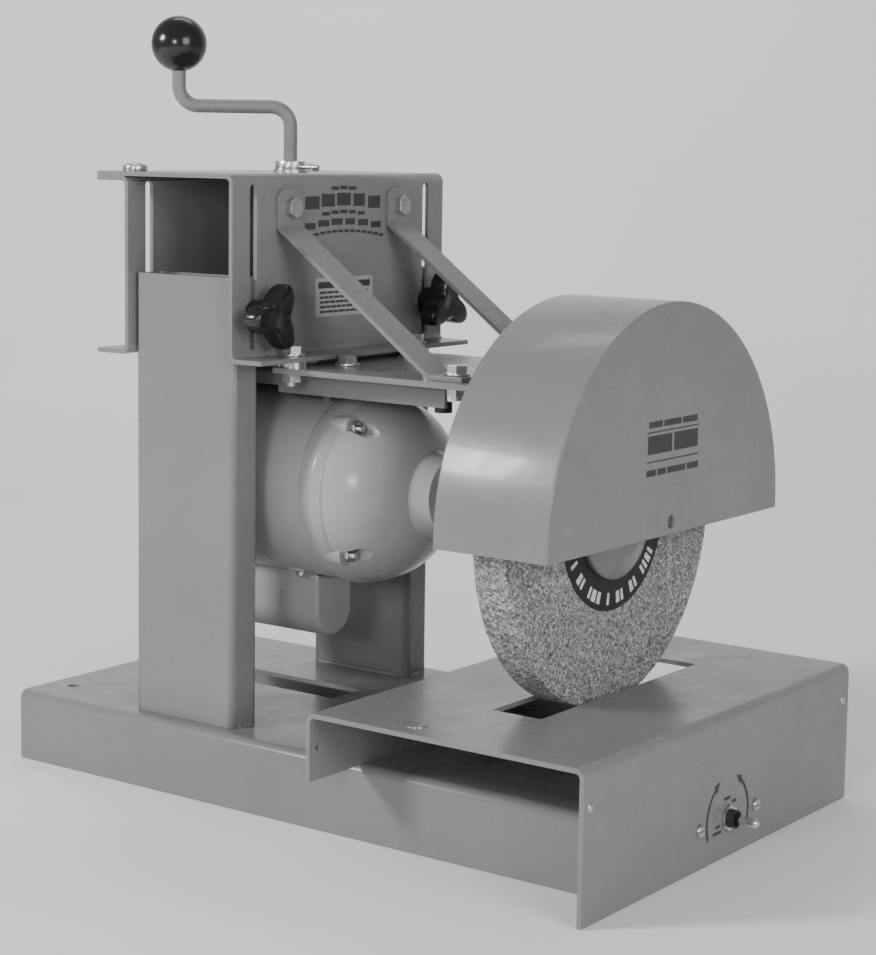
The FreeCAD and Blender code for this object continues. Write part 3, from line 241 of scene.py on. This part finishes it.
def printed(name, tone, gloss):
    """Screen-printed ink or label stock, with a little fade."""
    paint = Paint(name, IOR=1.45)
    fade = paint.noise(120.0, 4.0, 0.6)
    faded = paint.spread(fade, 0.4, 0.75, 0.0, 0.5)
    paint.colour(paint.blend(faded, grey(tone), grey(tone * 1.5 + 0.02)))
    paint.roughness(paint.spread(fade, 0.3, 0.7, gloss, gloss + 0.15))
    return paint.bump(paint.noise(700.0, 2.0, 0.5), 0.1, 0.00005)


def coloured(name, tint, gloss, metallic=0.0):
    """Bronze, enamelled copper or rubber: one tint with a darker mottle."""
    paint = Paint(name, metallic=metallic)
    mottle = paint.noise(160.0, 5.0, 0.6)
    dark = tuple(c * 0.6 for c in tint) + (1.0,)
    paint.colour(paint.blend(paint.spread(mottle, 0.35, 0.7, 0.0, 1.0), tint + (1.0,), dark))
    paint.roughness(paint.spread(mottle, 0.3, 0.7, gloss, gloss + 0.2))
    return paint.bump(mottle, 0.2, 0.0001)


def backdrop_cloth(name):
    """Pale seamless paper."""
    paint = Paint(name)
    cloud = paint.spread(paint.noise(3.0), 0.3, 0.7, 0.0, 1.0)
    paint.colour(paint.blend(cloud, grey(0.90), grey(0.94)))
    paint.roughness(paint.spread(paint.noise(60.0), 0.3, 0.7, 0.75, 0.95))
    return paint.bump(paint.noise(220.0, 3.0, 0.6), 0.08, 0.0004)


ENAMEL = enamel("grey_enamel", 0.205, 0.22)
# Motor paint: a slightly lighter enamel, made much lighter still as painted light for the light the
# motor shell, bells and cover catch.
MOTOR_ENAMEL_AND_PAINTED_LIGHT = enamel("motor_enamel_and_painted_light", 0.40, 0.17)
ZINC = plated("zinc_plate", 0.62, 0.24)
STEEL = plated("turned_steel", 0.50, 0.22, (0.2, 1.0, 1.0))
LAMINATION = plated("core_steel", 0.22, 0.45, (8.0, 0.2, 0.2))
CHROME = plated("bright_chrome", 0.80, 0.06)
BLACK = moulded("black_moulding", 0.012, 0.14)
BLACK_CASE = moulded("switch_case", 0.02, 0.4)
GRIT = grit("wheel_grit_grey")
RING_INK = printed("wheel_ring_black", 0.012, 0.5)
DARK_INK = printed("dark_print", 0.035, 0.45)
PALE_INK = printed("pale_print", 0.62, 0.5)
LABEL_STOCK = printed("label_stock", 0.34, 0.4)
BRONZE = coloured("bronze", (0.55, 0.36, 0.16), 0.3, 1.0)
COPPER = coloured("varnished_copper", (0.42, 0.17, 0.07), 0.3, 0.6)
RUBBER = coloured("black_rubber", (0.02, 0.02, 0.02), 0.55)
PAPER = backdrop_cloth("seamless_paper")

FINISH = {"enamel": ENAMEL, "zinc": ZINC, "steel": STEEL, "bronze": BRONZE, "chrome": CHROME,
          "black_plastic": BLACK, "copper": COPPER, "abrasive": GRIT, "paper": RING_INK,
          "rubber": RUBBER}
SPECIAL = {"motor_shell": MOTOR_ENAMEL_AND_PAINTED_LIGHT, "drive_end_bell": MOTOR_ENAMEL_AND_PAINTED_LIGHT, "rear_end_bell": MOTOR_ENAMEL_AND_PAINTED_LIGHT,
           "capacitor_cover": MOTOR_ENAMEL_AND_PAINTED_LIGHT, "rotor_core": LAMINATION, "stator_core": LAMINATION,
           "crank_rod": ENAMEL, "switch_body": BLACK_CASE, "outer_flange": ENAMEL,
           "inner_flange": ENAMEL, "arbor_nut": ZINC}
SOFT_EDGES = ("base", "front_post", "rear_post", "work_table", "lift_bracket", "back_channel",
              "motor_plate", "brace_front", "brace_rear", "motor_base", "wheel_guard",
              "guard_bracket", "nut_bridge", "capacitor_cover", "outer_flange", "inner_flange", "arbor_nut", "screw_collars",
              "channel_bolts", "plate_bolts", "carriage_nuts", "brace_bolts", "clamp_bolts",
              "clamp_washers", "through_bolts", "guard_bolts", "motor_bolts", "switch_nut")


def soften(piece, width):
    """Break the sharp edges of a part, as paint and plating do."""
    weld = piece.modifiers.new("close_seams", "WELD")
    weld.merge_threshold = 1e-6
    flat = piece.modifiers.new("plain_faces", "DECIMATE")
    flat.decimate_type, flat.angle_limit = "DISSOLVE", math.radians(0.4)
    edge = piece.modifiers.new("broken_edge", "BEVEL")
    edge.width, edge.segments, edge.limit_method = width, 2, "ANGLE"
    edge.angle_limit = math.radians(40)
    edge.harden_normals = True
    edge.use_clamp_overlap = True


def finish_frame():
    """Give every CAD part its material and its broken edges."""
    slots = {entry["node"]: entry["material_slot"] for entry in frame["record"]["subparts"]}
    for name, piece in NODES.items():
        material = SPECIAL.get(name, FINISH[slots[name]])
        piece.data.materials.clear()
        piece.data.materials.append(material)
        if name in SOFT_EDGES:
            soften(piece, 0.45 * MM if slots[name] == "enamel" else 0.25 * MM)


# ---- mesh building
def piece_from(mesh_data, name, material, body, smooth=True):
    """Turn a bmesh into a named piece that rides on a body."""
    bmesh.ops.recalc_face_normals(mesh_data, faces=mesh_data.faces)
    mesh = bpy.data.meshes.new(name)
    mesh_data.to_mesh(mesh)
    mesh_data.free()
    if smooth:
        mesh.shade_smooth()
    piece = bpy.data.objects.new(name, mesh)
    bpy.context.collection.objects.link(piece)
    mesh.materials.append(material)
    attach(piece, body)
    return piece


def lofted(rings, closed_ends=True, looped=False):
    """Skin rings that have the same number of points; looped joins the last to the first."""
    skin = bmesh.new()
    rows = [[skin.verts.new(p) for p in ring] for ring in rings]
    for one, two in zip(rows, rows[1:] + rows[:1] if looped else rows[1:]):
        for i in range(len(one)):
            j = (i + 1) % len(one)
            skin.faces.new((one[i], one[j], two[j], two[i]))
    if closed_ends:
        skin.faces.new(rows[0])
        skin.faces.new(rows[-1])
    return skin


def turned(profile, centre, axis_u, axis_v, axis, steps, name, material, body):
    """Turn an outline of (along, radius) corners about an axis through centre."""
    rings = []
    for along, radius in profile:
        ring = []
        for i in range(steps):
            angle = math.tau * i / steps
            ring.append(centre + axis * along
                        + (axis_u * math.cos(angle) + axis_v * math.sin(angle)) * radius)
        rings.append(ring)
    return piece_from(lofted(rings), name, material, body)


# ---- grinding wheel
def wheel_grit():
    """The wheel's skin, with grains standing in it."""
    steps, radial, across = 420, 62, 20
    crowd = 0.8                             # rings sit closer towards the rim
    bore, half = 8.0 * MM, (high["grinding_wheel"].x - low["grinding_wheel"].x) / 2
    edge = 1.2 * MM
    face = WHEEL_R - edge - bore
    profile = [(-half, bore)]
    profile += [(-half, bore + face * (i / radial) ** crowd) for i in range(1, radial + 1)]
    profile += [(-half + edge * 0.35, WHEEL_R - edge * 0.25)]
    profile += [(-half + edge + (2 * half - 2 * edge) * i / across, WHEEL_R) for i in range(across + 1)]
    profile += [(half - edge * 0.35, WHEEL_R - edge * 0.25)]
    profile += [(half, WHEEL_R - edge - face * (1 - ((radial - i) / radial) ** crowd))
                for i in range(radial)]
    profile += [(half, bore)]
    rings = []
    for along, radius in profile:
        ring = []
        for i in range(steps):
            angle = math.tau * i / steps
            spot = SPINDLE + X * along + (Y * math.cos(angle) + Z * math.sin(angle)) * radius
            depth = 0.22 * MM * (0.5 + 0.5 * noise.noise(spot * 620.0)) + 0.10 * MM * random.random()
            inward = SPINDLE + X * (along * 0.9) - spot if radius > WHEEL_R - edge else X * -along
            ring.append(spot + inward.normalized() * depth)
        rings.append(ring)
    wheel = piece_from(lofted(rings, False, True), "wheel_stone", GRIT, "spindle")
    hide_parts("grinding_wheel")


def ring_marks():
    """Short pale blocks round the wheel's paper ring, in place of its print."""
    face = high["wheel_blotters"].x
    marks = bmesh.new()
    random.seed(11)
    angle = 0.0
    while angle < math.tau - 0.12:
        width = random.choice((0.05, 0.075, 0.095))
        add_ring_block(marks, face, angle, angle + width, 50.5 * MM, 58.5 * MM)
        angle += width + random.choice((0.035, 0.035, 0.16))
    piece_from(marks, "ring_print", PALE_INK, "spindle", False)


def add_ring_block(marks, face, start, end, inner, outer):
    """One curved block, 0.08 mm thick, on the outer face of the ring."""
    steps = 4
    rows = []
    for x in (face, face + 0.08 * MM):
        for radius in (inner, outer):
            row = []
            for i in range(steps + 1):
                angle = start + (end - start) * i / steps
                row.append(marks.verts.new(Vector((x, SPINDLE.y + radius * math.cos(angle),
                                                   SPINDLE.z + radius * math.sin(angle)))))
            rows.append(row)
    bottom_in, bottom_out, top_in, top_out = rows
    for one, two in ((top_in, top_out), (bottom_out, bottom_in), (bottom_in, top_in),
                     (top_out, bottom_out)):
        for i in range(steps):
            marks.faces.new((one[i], one[i + 1], two[i + 1], two[i]))
    for i in (0, steps):
        marks.faces.new((bottom_in[i], bottom_out[i], top_out[i], top_in[i]))


# ---- knobs, ball and screw
def knob_grip(node, body, turn):
    """Three-lobed moulded knob with rounded lobes and a hub towards the plate."""
    x0, x1 = low[node].x, high[node].x
    axis_z = middle(node + "_insert").z
    axis_y = middle(node + "_insert").y
    steps = 144
    hub, reach = 11.4 * MM, 24.8 * MM
    stations = ((0.0, 0.0, 0.90), (0.4, 0.0, 1.0), (6.5, 0.0, 1.0), (8.6, 0.25, 1.0), (9.4, 0.85, 0.97),
                (10.2, 1.0, 0.95), (11.4, 1.0, 0.99), (13.0, 1.0, 1.0), (19.0, 1.0, 1.0),
                (21.4, 1.0, 0.985), (22.9, 1.0, 0.94), (23.7, 1.0, 0.87), (24.0, 1.0, 0.76),
                (23.9, 0.75, 0.62), (23.5, 0.0, 0.60))
    rings = []
    for along, lobed, scale in stations:
        ring = []
        for i in range(steps):
            angle = math.tau * i / steps
            swell = (0.5 + 0.5 * math.cos(3 * (angle - math.radians(turn)))) ** 1.35
            radius = (hub + (reach - hub) * swell * lobed) * scale
            ring.append(Vector((x0 + along / 24.0 * (x1 - x0), axis_y + radius * math.cos(angle),
                                axis_z + radius * math.sin(angle))))
        rings.append(ring)
    grip = piece_from(lofted(rings), node + "_grip", BLACK, body)
    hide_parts(node)


def threaded(name, node, body, material, lead, depth):
    """Screw thread wound along Z in place of a plain rod."""
    bottom, top = low[node].z, high[node].z
    centre = middle(node)
    radius = (high[node].x - low[node].x) / 2
    steps, per_turn = 28, 6
    rings = []
    count = int((top - bottom) / lead * per_turn)
    for k in range(count + 1):
        z = bottom + (top - bottom) * k / count
        ring = []
        for i in range(steps):
            angle = math.tau * i / steps
            phase = ((z - bottom) / lead - i / steps) % 1.0
            wave = abs(2 * phase - 1)
            taper = min(1.0, (z - bottom) / (2 * MM) + 0.55)
            r = (radius - depth * wave) * taper
            ring.append(Vector((centre.x + r * math.cos(angle), centre.y + r * math.sin(angle), z)))
        rings.append(ring)
    screw = piece_from(lofted(rings), name, material, body)
    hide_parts(node)


# ---- welds
def weld_bead(name, start, end, side, size, body):
    """Lumpy fillet bead between two points; side points out of the corner."""
    along = end - start
    count = max(6, int(along.length / (1.1 * MM)))
    direction = along.normalized()
    across = direction.cross(side).normalized()
    rings = []
    for k in range(count + 1):
        t = k / count
        ripple = 0.86 + 0.14 * abs(math.sin(k * 1.2)) + 0.06 * random.random()
        swell = size * ripple * (0.35 if k in (0, count) else 1.0)
        ring = []
        for i in range(10):
            angle = math.tau * i / 10
            ring.append(start + along * t + (side.normalized() * math.cos(angle)
                                             + across * math.sin(angle)) * swell)
        rings.append(ring)
    return piece_from(lofted(rings), name, ENAMEL, body)


def frame_welds():
    """Beads where the posts and table meet what carries them."""
    for node, sign in (("front_post", -1), ("rear_post", 1)):
        a, b = low[node], high[node]
        inner = b.y if sign < 0 else a.y
        inset = 6 * MM
        weld_bead(node + "_weld_inner", Vector((a.x + inset, inner, BASE_TOP)),
                  Vector((b.x - inset, inner, BASE_TOP)), Vector((0, -sign, 1)), 2.2 * MM, "frame")
        for label, x, way in (("left", a.x, -1), ("right", b.x, 1)):
            weld_bead(f"{node}_weld_{label}", Vector((x, a.y + inset, BASE_TOP)),
                      Vector((x, b.y - inset, BASE_TOP)), Vector((way, 0, 1)), 2.0 * MM, "frame")
    a = low["work_table"]
    for k in range(3):
        y = -0.095 + 0.085 * k
        weld_bead(f"table_weld_{k + 1}", Vector((a.x, y, BASE_TOP)), Vector((a.x, y + 0.025, BASE_TOP)),
                  Vector((-1, 0, 1)), 1.8 * MM, "frame")


# ---- printed marks
def panel(marks, origin, right, up, width, height, thick, corner=0.0):
    """A thin block lying on a face, its lower left corner at origin."""
    out = right.cross(up)
    if corner:
        points = []
        for cx, cy, start in ((width - corner, corner, -90), (width - corner, height - corner, 0),
                              (corner, height - corner, 90), (corner, corner, 180)):
            for i in range(5):
                angle = math.radians(start + 22.5 * i)
                points.append((cx + corner * math.cos(angle), cy + corner * math.sin(angle)))
    else:
        points = [(0, 0), (width, 0), (width, height), (0, height)]
    below = [marks.verts.new(origin + right * u + up * v) for u, v in points]
    above = [marks.verts.new(origin + right * u + up * v + out * thick) for u, v in points]
    marks.faces.new(above)
    marks.faces.new(below)
    for i in range(len(points)):
        j = (i + 1) % len(points)
        marks.faces.new((below[i], below[j], above[j], above[i]))


def text_row(marks, origin, right, up, width, height, blocks):
    """A row of plain blocks of mixed lengths that stands for a line of print."""
    gap = min(height * 0.42, 2.5 * MM)
    lengths = [random.uniform(0.7, 1.7) for _ in range(blocks)]
    scale = (width - gap * (blocks - 1)) / sum(lengths)
    at = 0.0
    for length in lengths:
        panel(marks, origin + right * at, right, up, length * scale, height, INK)
        at += length * scale + gap


def bracket_print():
    """Arched lines of print on the bracket's right plate."""
    random.seed(5)
    marks = bmesh.new()
    centre_y, top = middle("lift_bracket").y, high["lift_bracket"].z
    for drop, width, height, blocks, arch in ((8.5, 30, 2.6, 3, 0.8), (13.5, 88, 9.0, 5, 3.5),
                                              (25.5, 50, 2.6, 5, 2.0), (31.5, 90, 4.6, 6, 4.0),
                                              (39.5, 94, 2.0, 14, 4.5)):
        for k in range(blocks):
            share = (k + 0.5) / blocks * 2 - 1
            cell = width / blocks
            sag = arch * (1 - share * share) - arch
            wide = cell * random.uniform(0.74, 0.9)
            origin = Vector((PLATE_X, centre_y + (share * width / 2 - wide / 2) * MM,
                             top - (drop + height - sag) * MM))
            panel(marks, origin, Y, Z, wide * MM, height * MM, INK)
    piece_from(marks, "bracket_print", DARK_INK, "carriage", False)


def rating_label():
    """Small rectangular label with rows of print, low on the plate."""
    random.seed(8)
    stock, ink = bmesh.new(), bmesh.new()
    width, height = 65 * MM, 27.5 * MM
    origin = Vector((PLATE_X, middle("lift_bracket").y - 31.0 * MM, low["lift_bracket"].z + 26.9 * MM))
    panel(stock, origin, Y, Z, width, height, LABEL, 1.5 * MM)
    panel(ink, origin + Vector((LABEL, 3 * MM, 20 * MM)), Y, Z, width - 6 * MM, 4.6 * MM, 0.05 * MM)
    for k in range(5):
        text_row(ink, origin + Vector((LABEL, 5 * MM, (2.5 + 3.4 * k) * MM)), Y, Z,
                 width - 10 * MM - (k % 2) * 9 * MM, 1.7 * MM, 8)
    piece_from(stock, "rating_label", LABEL_STOCK, "carriage", False)
    piece_from(ink, "rating_label_print", DARK_INK, "carriage", False)


def guard_print():
    """Three rows of plain bars between two rules on the guard's outer face."""
    random.seed(3)
    marks = bmesh.new()
    face, centre = high["wheel_guard"].x, middle("wheel_guard").y
    level = SPINDLE.z
    for height, width, tall, blocks in ((66.0, 62, 4.2, 3), (49.0, 64, 12.0, 2), (34.8, 66, 4.2, 4)):
        text_row(marks, Vector((face, centre - width / 2 * MM, level + height * MM)), Y, Z,
                 width * MM, tall * MM, blocks)
    for height in (62.8, 43.6):
        corner = Vector((face, centre - 33 * MM, level + height * MM))
        panel(marks, corner, Y, Z, 66 * MM, 0.9 * MM, INK)
    piece_from(marks, "guard_print", DARK_INK, "carriage", False)


def curved_arrow(marks, side):
    """Arrow that bends up beside the toggle lever; side is -1 left, 1 right."""
    centre = Vector((END_X, middle("switch_nut").y, middle("switch_nut").z))
    span, inner, outer = 14, 26 * MM, 28.6 * MM
    points = []
    for i in range(span + 1):
        angle = math.radians(-22 + 74 * i / span)
        points.append((math.cos(angle), math.sin(angle)))
    thick = X * INK
    rows = [[marks.verts.new(centre + Y * (side * c * r) + Z * (s * r) + lift)
             for c, s in points] for r in (inner, outer) for lift in (Vector(), thick)]
    for one, two in ((rows[0], rows[1]), (rows[1], rows[3]), (rows[3], rows[2]), (rows[2], rows[0])):
        for i in range(span):
            marks.faces.new((one[i], one[i + 1], two[i + 1], two[i]))
    for i in (0, span):
        marks.faces.new((rows[0][i], rows[1][i], rows[3][i], rows[2][i]))
    c, s = points[-1]
    tangent = Vector((0, -side * s, c))
    radial = Vector((0, side * c, s))
    tip = centre + radial * 27.3 * MM + tangent * 8 * MM
    left = centre + radial * 23.8 * MM
    right = centre + radial * 30.8 * MM
    below = [marks.verts.new(p) for p in (tip, left, right)]
    above = [marks.verts.new(p + thick) for p in (tip, left, right)]
    marks.faces.new(above)
    marks.faces.new(below)
    for i in range(3):
        j = (i + 1) % 3
        marks.faces.new((below[i], below[j], above[j], above[i]))


def switch_print():
    """Two arrows and plain bars printed round the toggle."""
    nut = middle("switch_nut")
    marks = bmesh.new()
    for side in (-1, 1):
        curved_arrow(marks, side)
    for dy, dz, width in ((-5, 12.0, 8), (5, 8.5, 6), (-16, -4.5, 6), (-19, -8.5, 11)):
        panel(marks, Vector((END_X, nut.y + dy * MM, nut.z + dz * MM)), Y, Z, width * MM, 2.2 * MM, INK)
    piece_from(marks, "switch_print", DARK_INK, "frame", False)


# ---- small hardware
def dome(name, centre, out, radius, rise, material, body):
    """Low rivet or screw head that stands on a face."""
    side = out.orthogonal().normalized()
    other = out.cross(side)
    profile = [(-0.2 * MM, radius * 0.96), (0.0, radius)]
    profile += [(rise * math.sin(math.radians(a)), radius * math.cos(math.radians(a)))
                for a in range(10, 90, 10)]
    return turned(profile, centre, side, other, out, 32, name, material, body)


def table_rivets():
    """Rivets near the ends of the table's flanges."""
    height, inset = 72 * MM, 8 * MM
    ends = (("left_front", low["work_table"].x, low["work_table"].y + inset, -1),
            ("right_front", END_X, low["work_table"].y + inset, 1),
            ("right_rear", END_X, high["work_table"].y - inset, 1))
    for label, x, y, way in ends:
        dome(f"table_rivet_{label}", Vector((x, y, height)), X * way, 3.1 * MM, 1.0 * MM, ZINC,
             "frame")


def cover_ribs():
    """Two pressed ribs on the front of the capacitor cover."""
    a, b = low["capacitor_cover"], high["capacitor_cover"]
    face = middle("start_capacitor").y - 20.0 * MM
    for label, share in (("left", 0.42), ("right", 0.72)):
        centre = Vector((a.x + (b.x - a.x) * share, face, a.z + 27 * MM))
        rings = []
        for t in range(9):
            z = (t / 8 - 0.5) * 12 * MM
            swell = 1.5 * MM * math.sqrt(max(0.05, 1 - (t / 4 - 1) ** 2 * 0.9))
            rings.append([centre + Vector((swell * math.cos(math.tau * i / 12),
                                           0.6 * swell * math.sin(math.tau * i / 12), z))
                          for i in range(12)])
        piece_from(lofted(rings), f"cover_rib_{label}", MOTOR_ENAMEL_AND_PAINTED_LIGHT, "carriage")


def shell_seam():
    """Rolled bead at the rear of the shell and a broad pressed ridge at its drive end."""
    centre_y, centre_z = middle("motor_shell").y, middle("motor_shell").z
    radius = (high["motor_shell"].z - low["motor_shell"].z) / 2
    bead = ((-1.6, -0.1), (-1.2, 0.43), (0.0, 0.65), (1.2, 0.43), (1.6, -0.1), (1.6, -0.6),
            (-1.6, -0.6))
    ridge = ((-13.0, -0.1), (-10.0, 0.15), (-7.0, 0.6), (-4.0, 1.15), (-1.0, 1.45), (1.5, 1.3),
             (4.0, 0.7), (6.5, -0.1), (9.0, -1.0), (9.0, -2.5), (-13.0, -2.5))
    ends = (("rear", low["motor_shell"].x, bead), ("drive", high["motor_shell"].x, ridge))
    for label, x, profile in ends:
        rings = []
        for along, rise in profile:
            ring = []
            for i in range(ROUND):
                angle = math.tau * i / ROUND
                ring.append(Vector((x + along * MM, centre_y + (radius + rise * MM) * math.cos(angle),
                                    centre_z + (radius + rise * MM) * math.sin(angle))))
            rings.append(ring)
        piece_from(lofted(rings, False, True), f"shell_bead_{label}", MOTOR_ENAMEL_AND_PAINTED_LIGHT, "carriage")


# ---- stage, lights and camera
def sweep():
    """Seamless paper that runs from the floor up behind the machine."""
    paper = bmesh.new()
    rows = []
    ahead = Vector((-0.587, 0.810, 0))
    side = Vector((0.810, 0.587, 0))
    path = [(-4.0, 0.0), (1.3, 0.0)]
    path += [(1.3 + 0.9 * math.sin(math.radians(a)), 0.9 - 0.9 * math.cos(math.radians(a)))
             for a in range(10, 91, 10)]
    path += [(2.2, 4.0)]
    for forward, rise in path:
        rows.append([paper.verts.new(ahead * forward + side * s + Z * (rise - 0.0005))
                     for s in (-5.0, 5.0)])
    for one, two in zip(rows, rows[1:]):
        paper.faces.new((one[0], one[1], two[1], two[0]))
    mesh = bpy.data.meshes.new("seamless_paper")
    paper.to_mesh(mesh)
    paper.free()
    mesh.shade_smooth()
    mesh.materials.append(PAPER)
    sheet = bpy.data.objects.new("seamless_paper", mesh)
    bpy.context.collection.objects.link(sheet)


def softbox(name, place, aim, size, power):
    lamp = bpy.data.lights.new(name, "AREA")
    lamp.shape, lamp.size, lamp.energy = "SQUARE", size, power
    holder = bpy.data.objects.new(name, lamp)
    holder.location = place
    holder.rotation_mode = "QUATERNION"
    holder.rotation_quaternion = (aim - place).to_track_quat("-Z", "Y")
    bpy.context.collection.objects.link(holder)


def studio():
    aim = Vector((0.05, 0.0, 0.22))
    softbox("key_softbox", Vector((-1.2, -1.65, 1.15)), aim, 0.42, 37.0)
    softbox("front_softbox", Vector((0.75, -2.1, 0.75)), aim, 0.4, 13.0)
    softbox("right_softbox", Vector((2.0, -0.75, 0.85)), aim, 1.0, 21.0)
    behind = Vector((-0.587, 0.810, 0))
    softbox("paper_softbox", behind * 0.9 + Z * 1.9, behind * 2.2 + Z * 0.5, 1.0, 14.0)
    world = bpy.data.worlds.new("studio_air")
    world.use_nodes = True
    world.node_tree.nodes["Background"].inputs[0].default_value = grey(1.0)
    world.node_tree.nodes["Background"].inputs[1].default_value = 0.31
    bpy.context.scene.world = world


def camera():
    """Long lens, a little above the table and round to the front right corner."""
    azimuth, elevation, roll = math.radians(36.11), math.radians(7.15), math.radians(0.86)
    right = Vector((math.cos(azimuth), math.sin(azimuth), 0))
    up = Vector((-math.sin(azimuth) * math.sin(elevation), math.cos(azimuth) * math.sin(elevation),
                 math.cos(elevation)))
    back = Vector((math.sin(azimuth) * math.cos(elevation), -math.cos(azimuth) * math.cos(elevation),
                   math.sin(elevation)))
    turned_right = right * math.cos(roll) + up * math.sin(roll)
    turned_up = up * math.cos(roll) - right * math.sin(roll)
    lens = bpy.data.cameras.new("camera")
    lens.lens, lens.sensor_width = 84.38, 36.0
    lens.shift_x, lens.shift_y = -0.0009, -0.0571
    lens.clip_start, lens.clip_end = 0.05, 50.0
    holder = bpy.data.objects.new("camera", lens)
    turn = Matrix((turned_right, turned_up, back)).transposed().to_4x4()
    holder.matrix_world = Matrix.Translation((0.9272, -1.2487, 0.4575)) @ turn
    bpy.context.collection.objects.link(holder)
    bpy.context.scene.camera = holder


camera()
studio()
sweep()
finish_frame()
random.seed(1)
wheel_grit()
ring_marks()
knob_grip("front_knob", "front_clamp_knob", 60.0)
knob_grip("rear_knob", "rear_clamp_knob", 90.0)
threaded("lift_screw_thread", "lead_screw", "lift_crank", STEEL, 1.5875 * MM, 0.9 * MM)
frame_welds()
bracket_print()
rating_label()
guard_print()
switch_print()
table_rivets()
cover_ribs()
shell_seam()
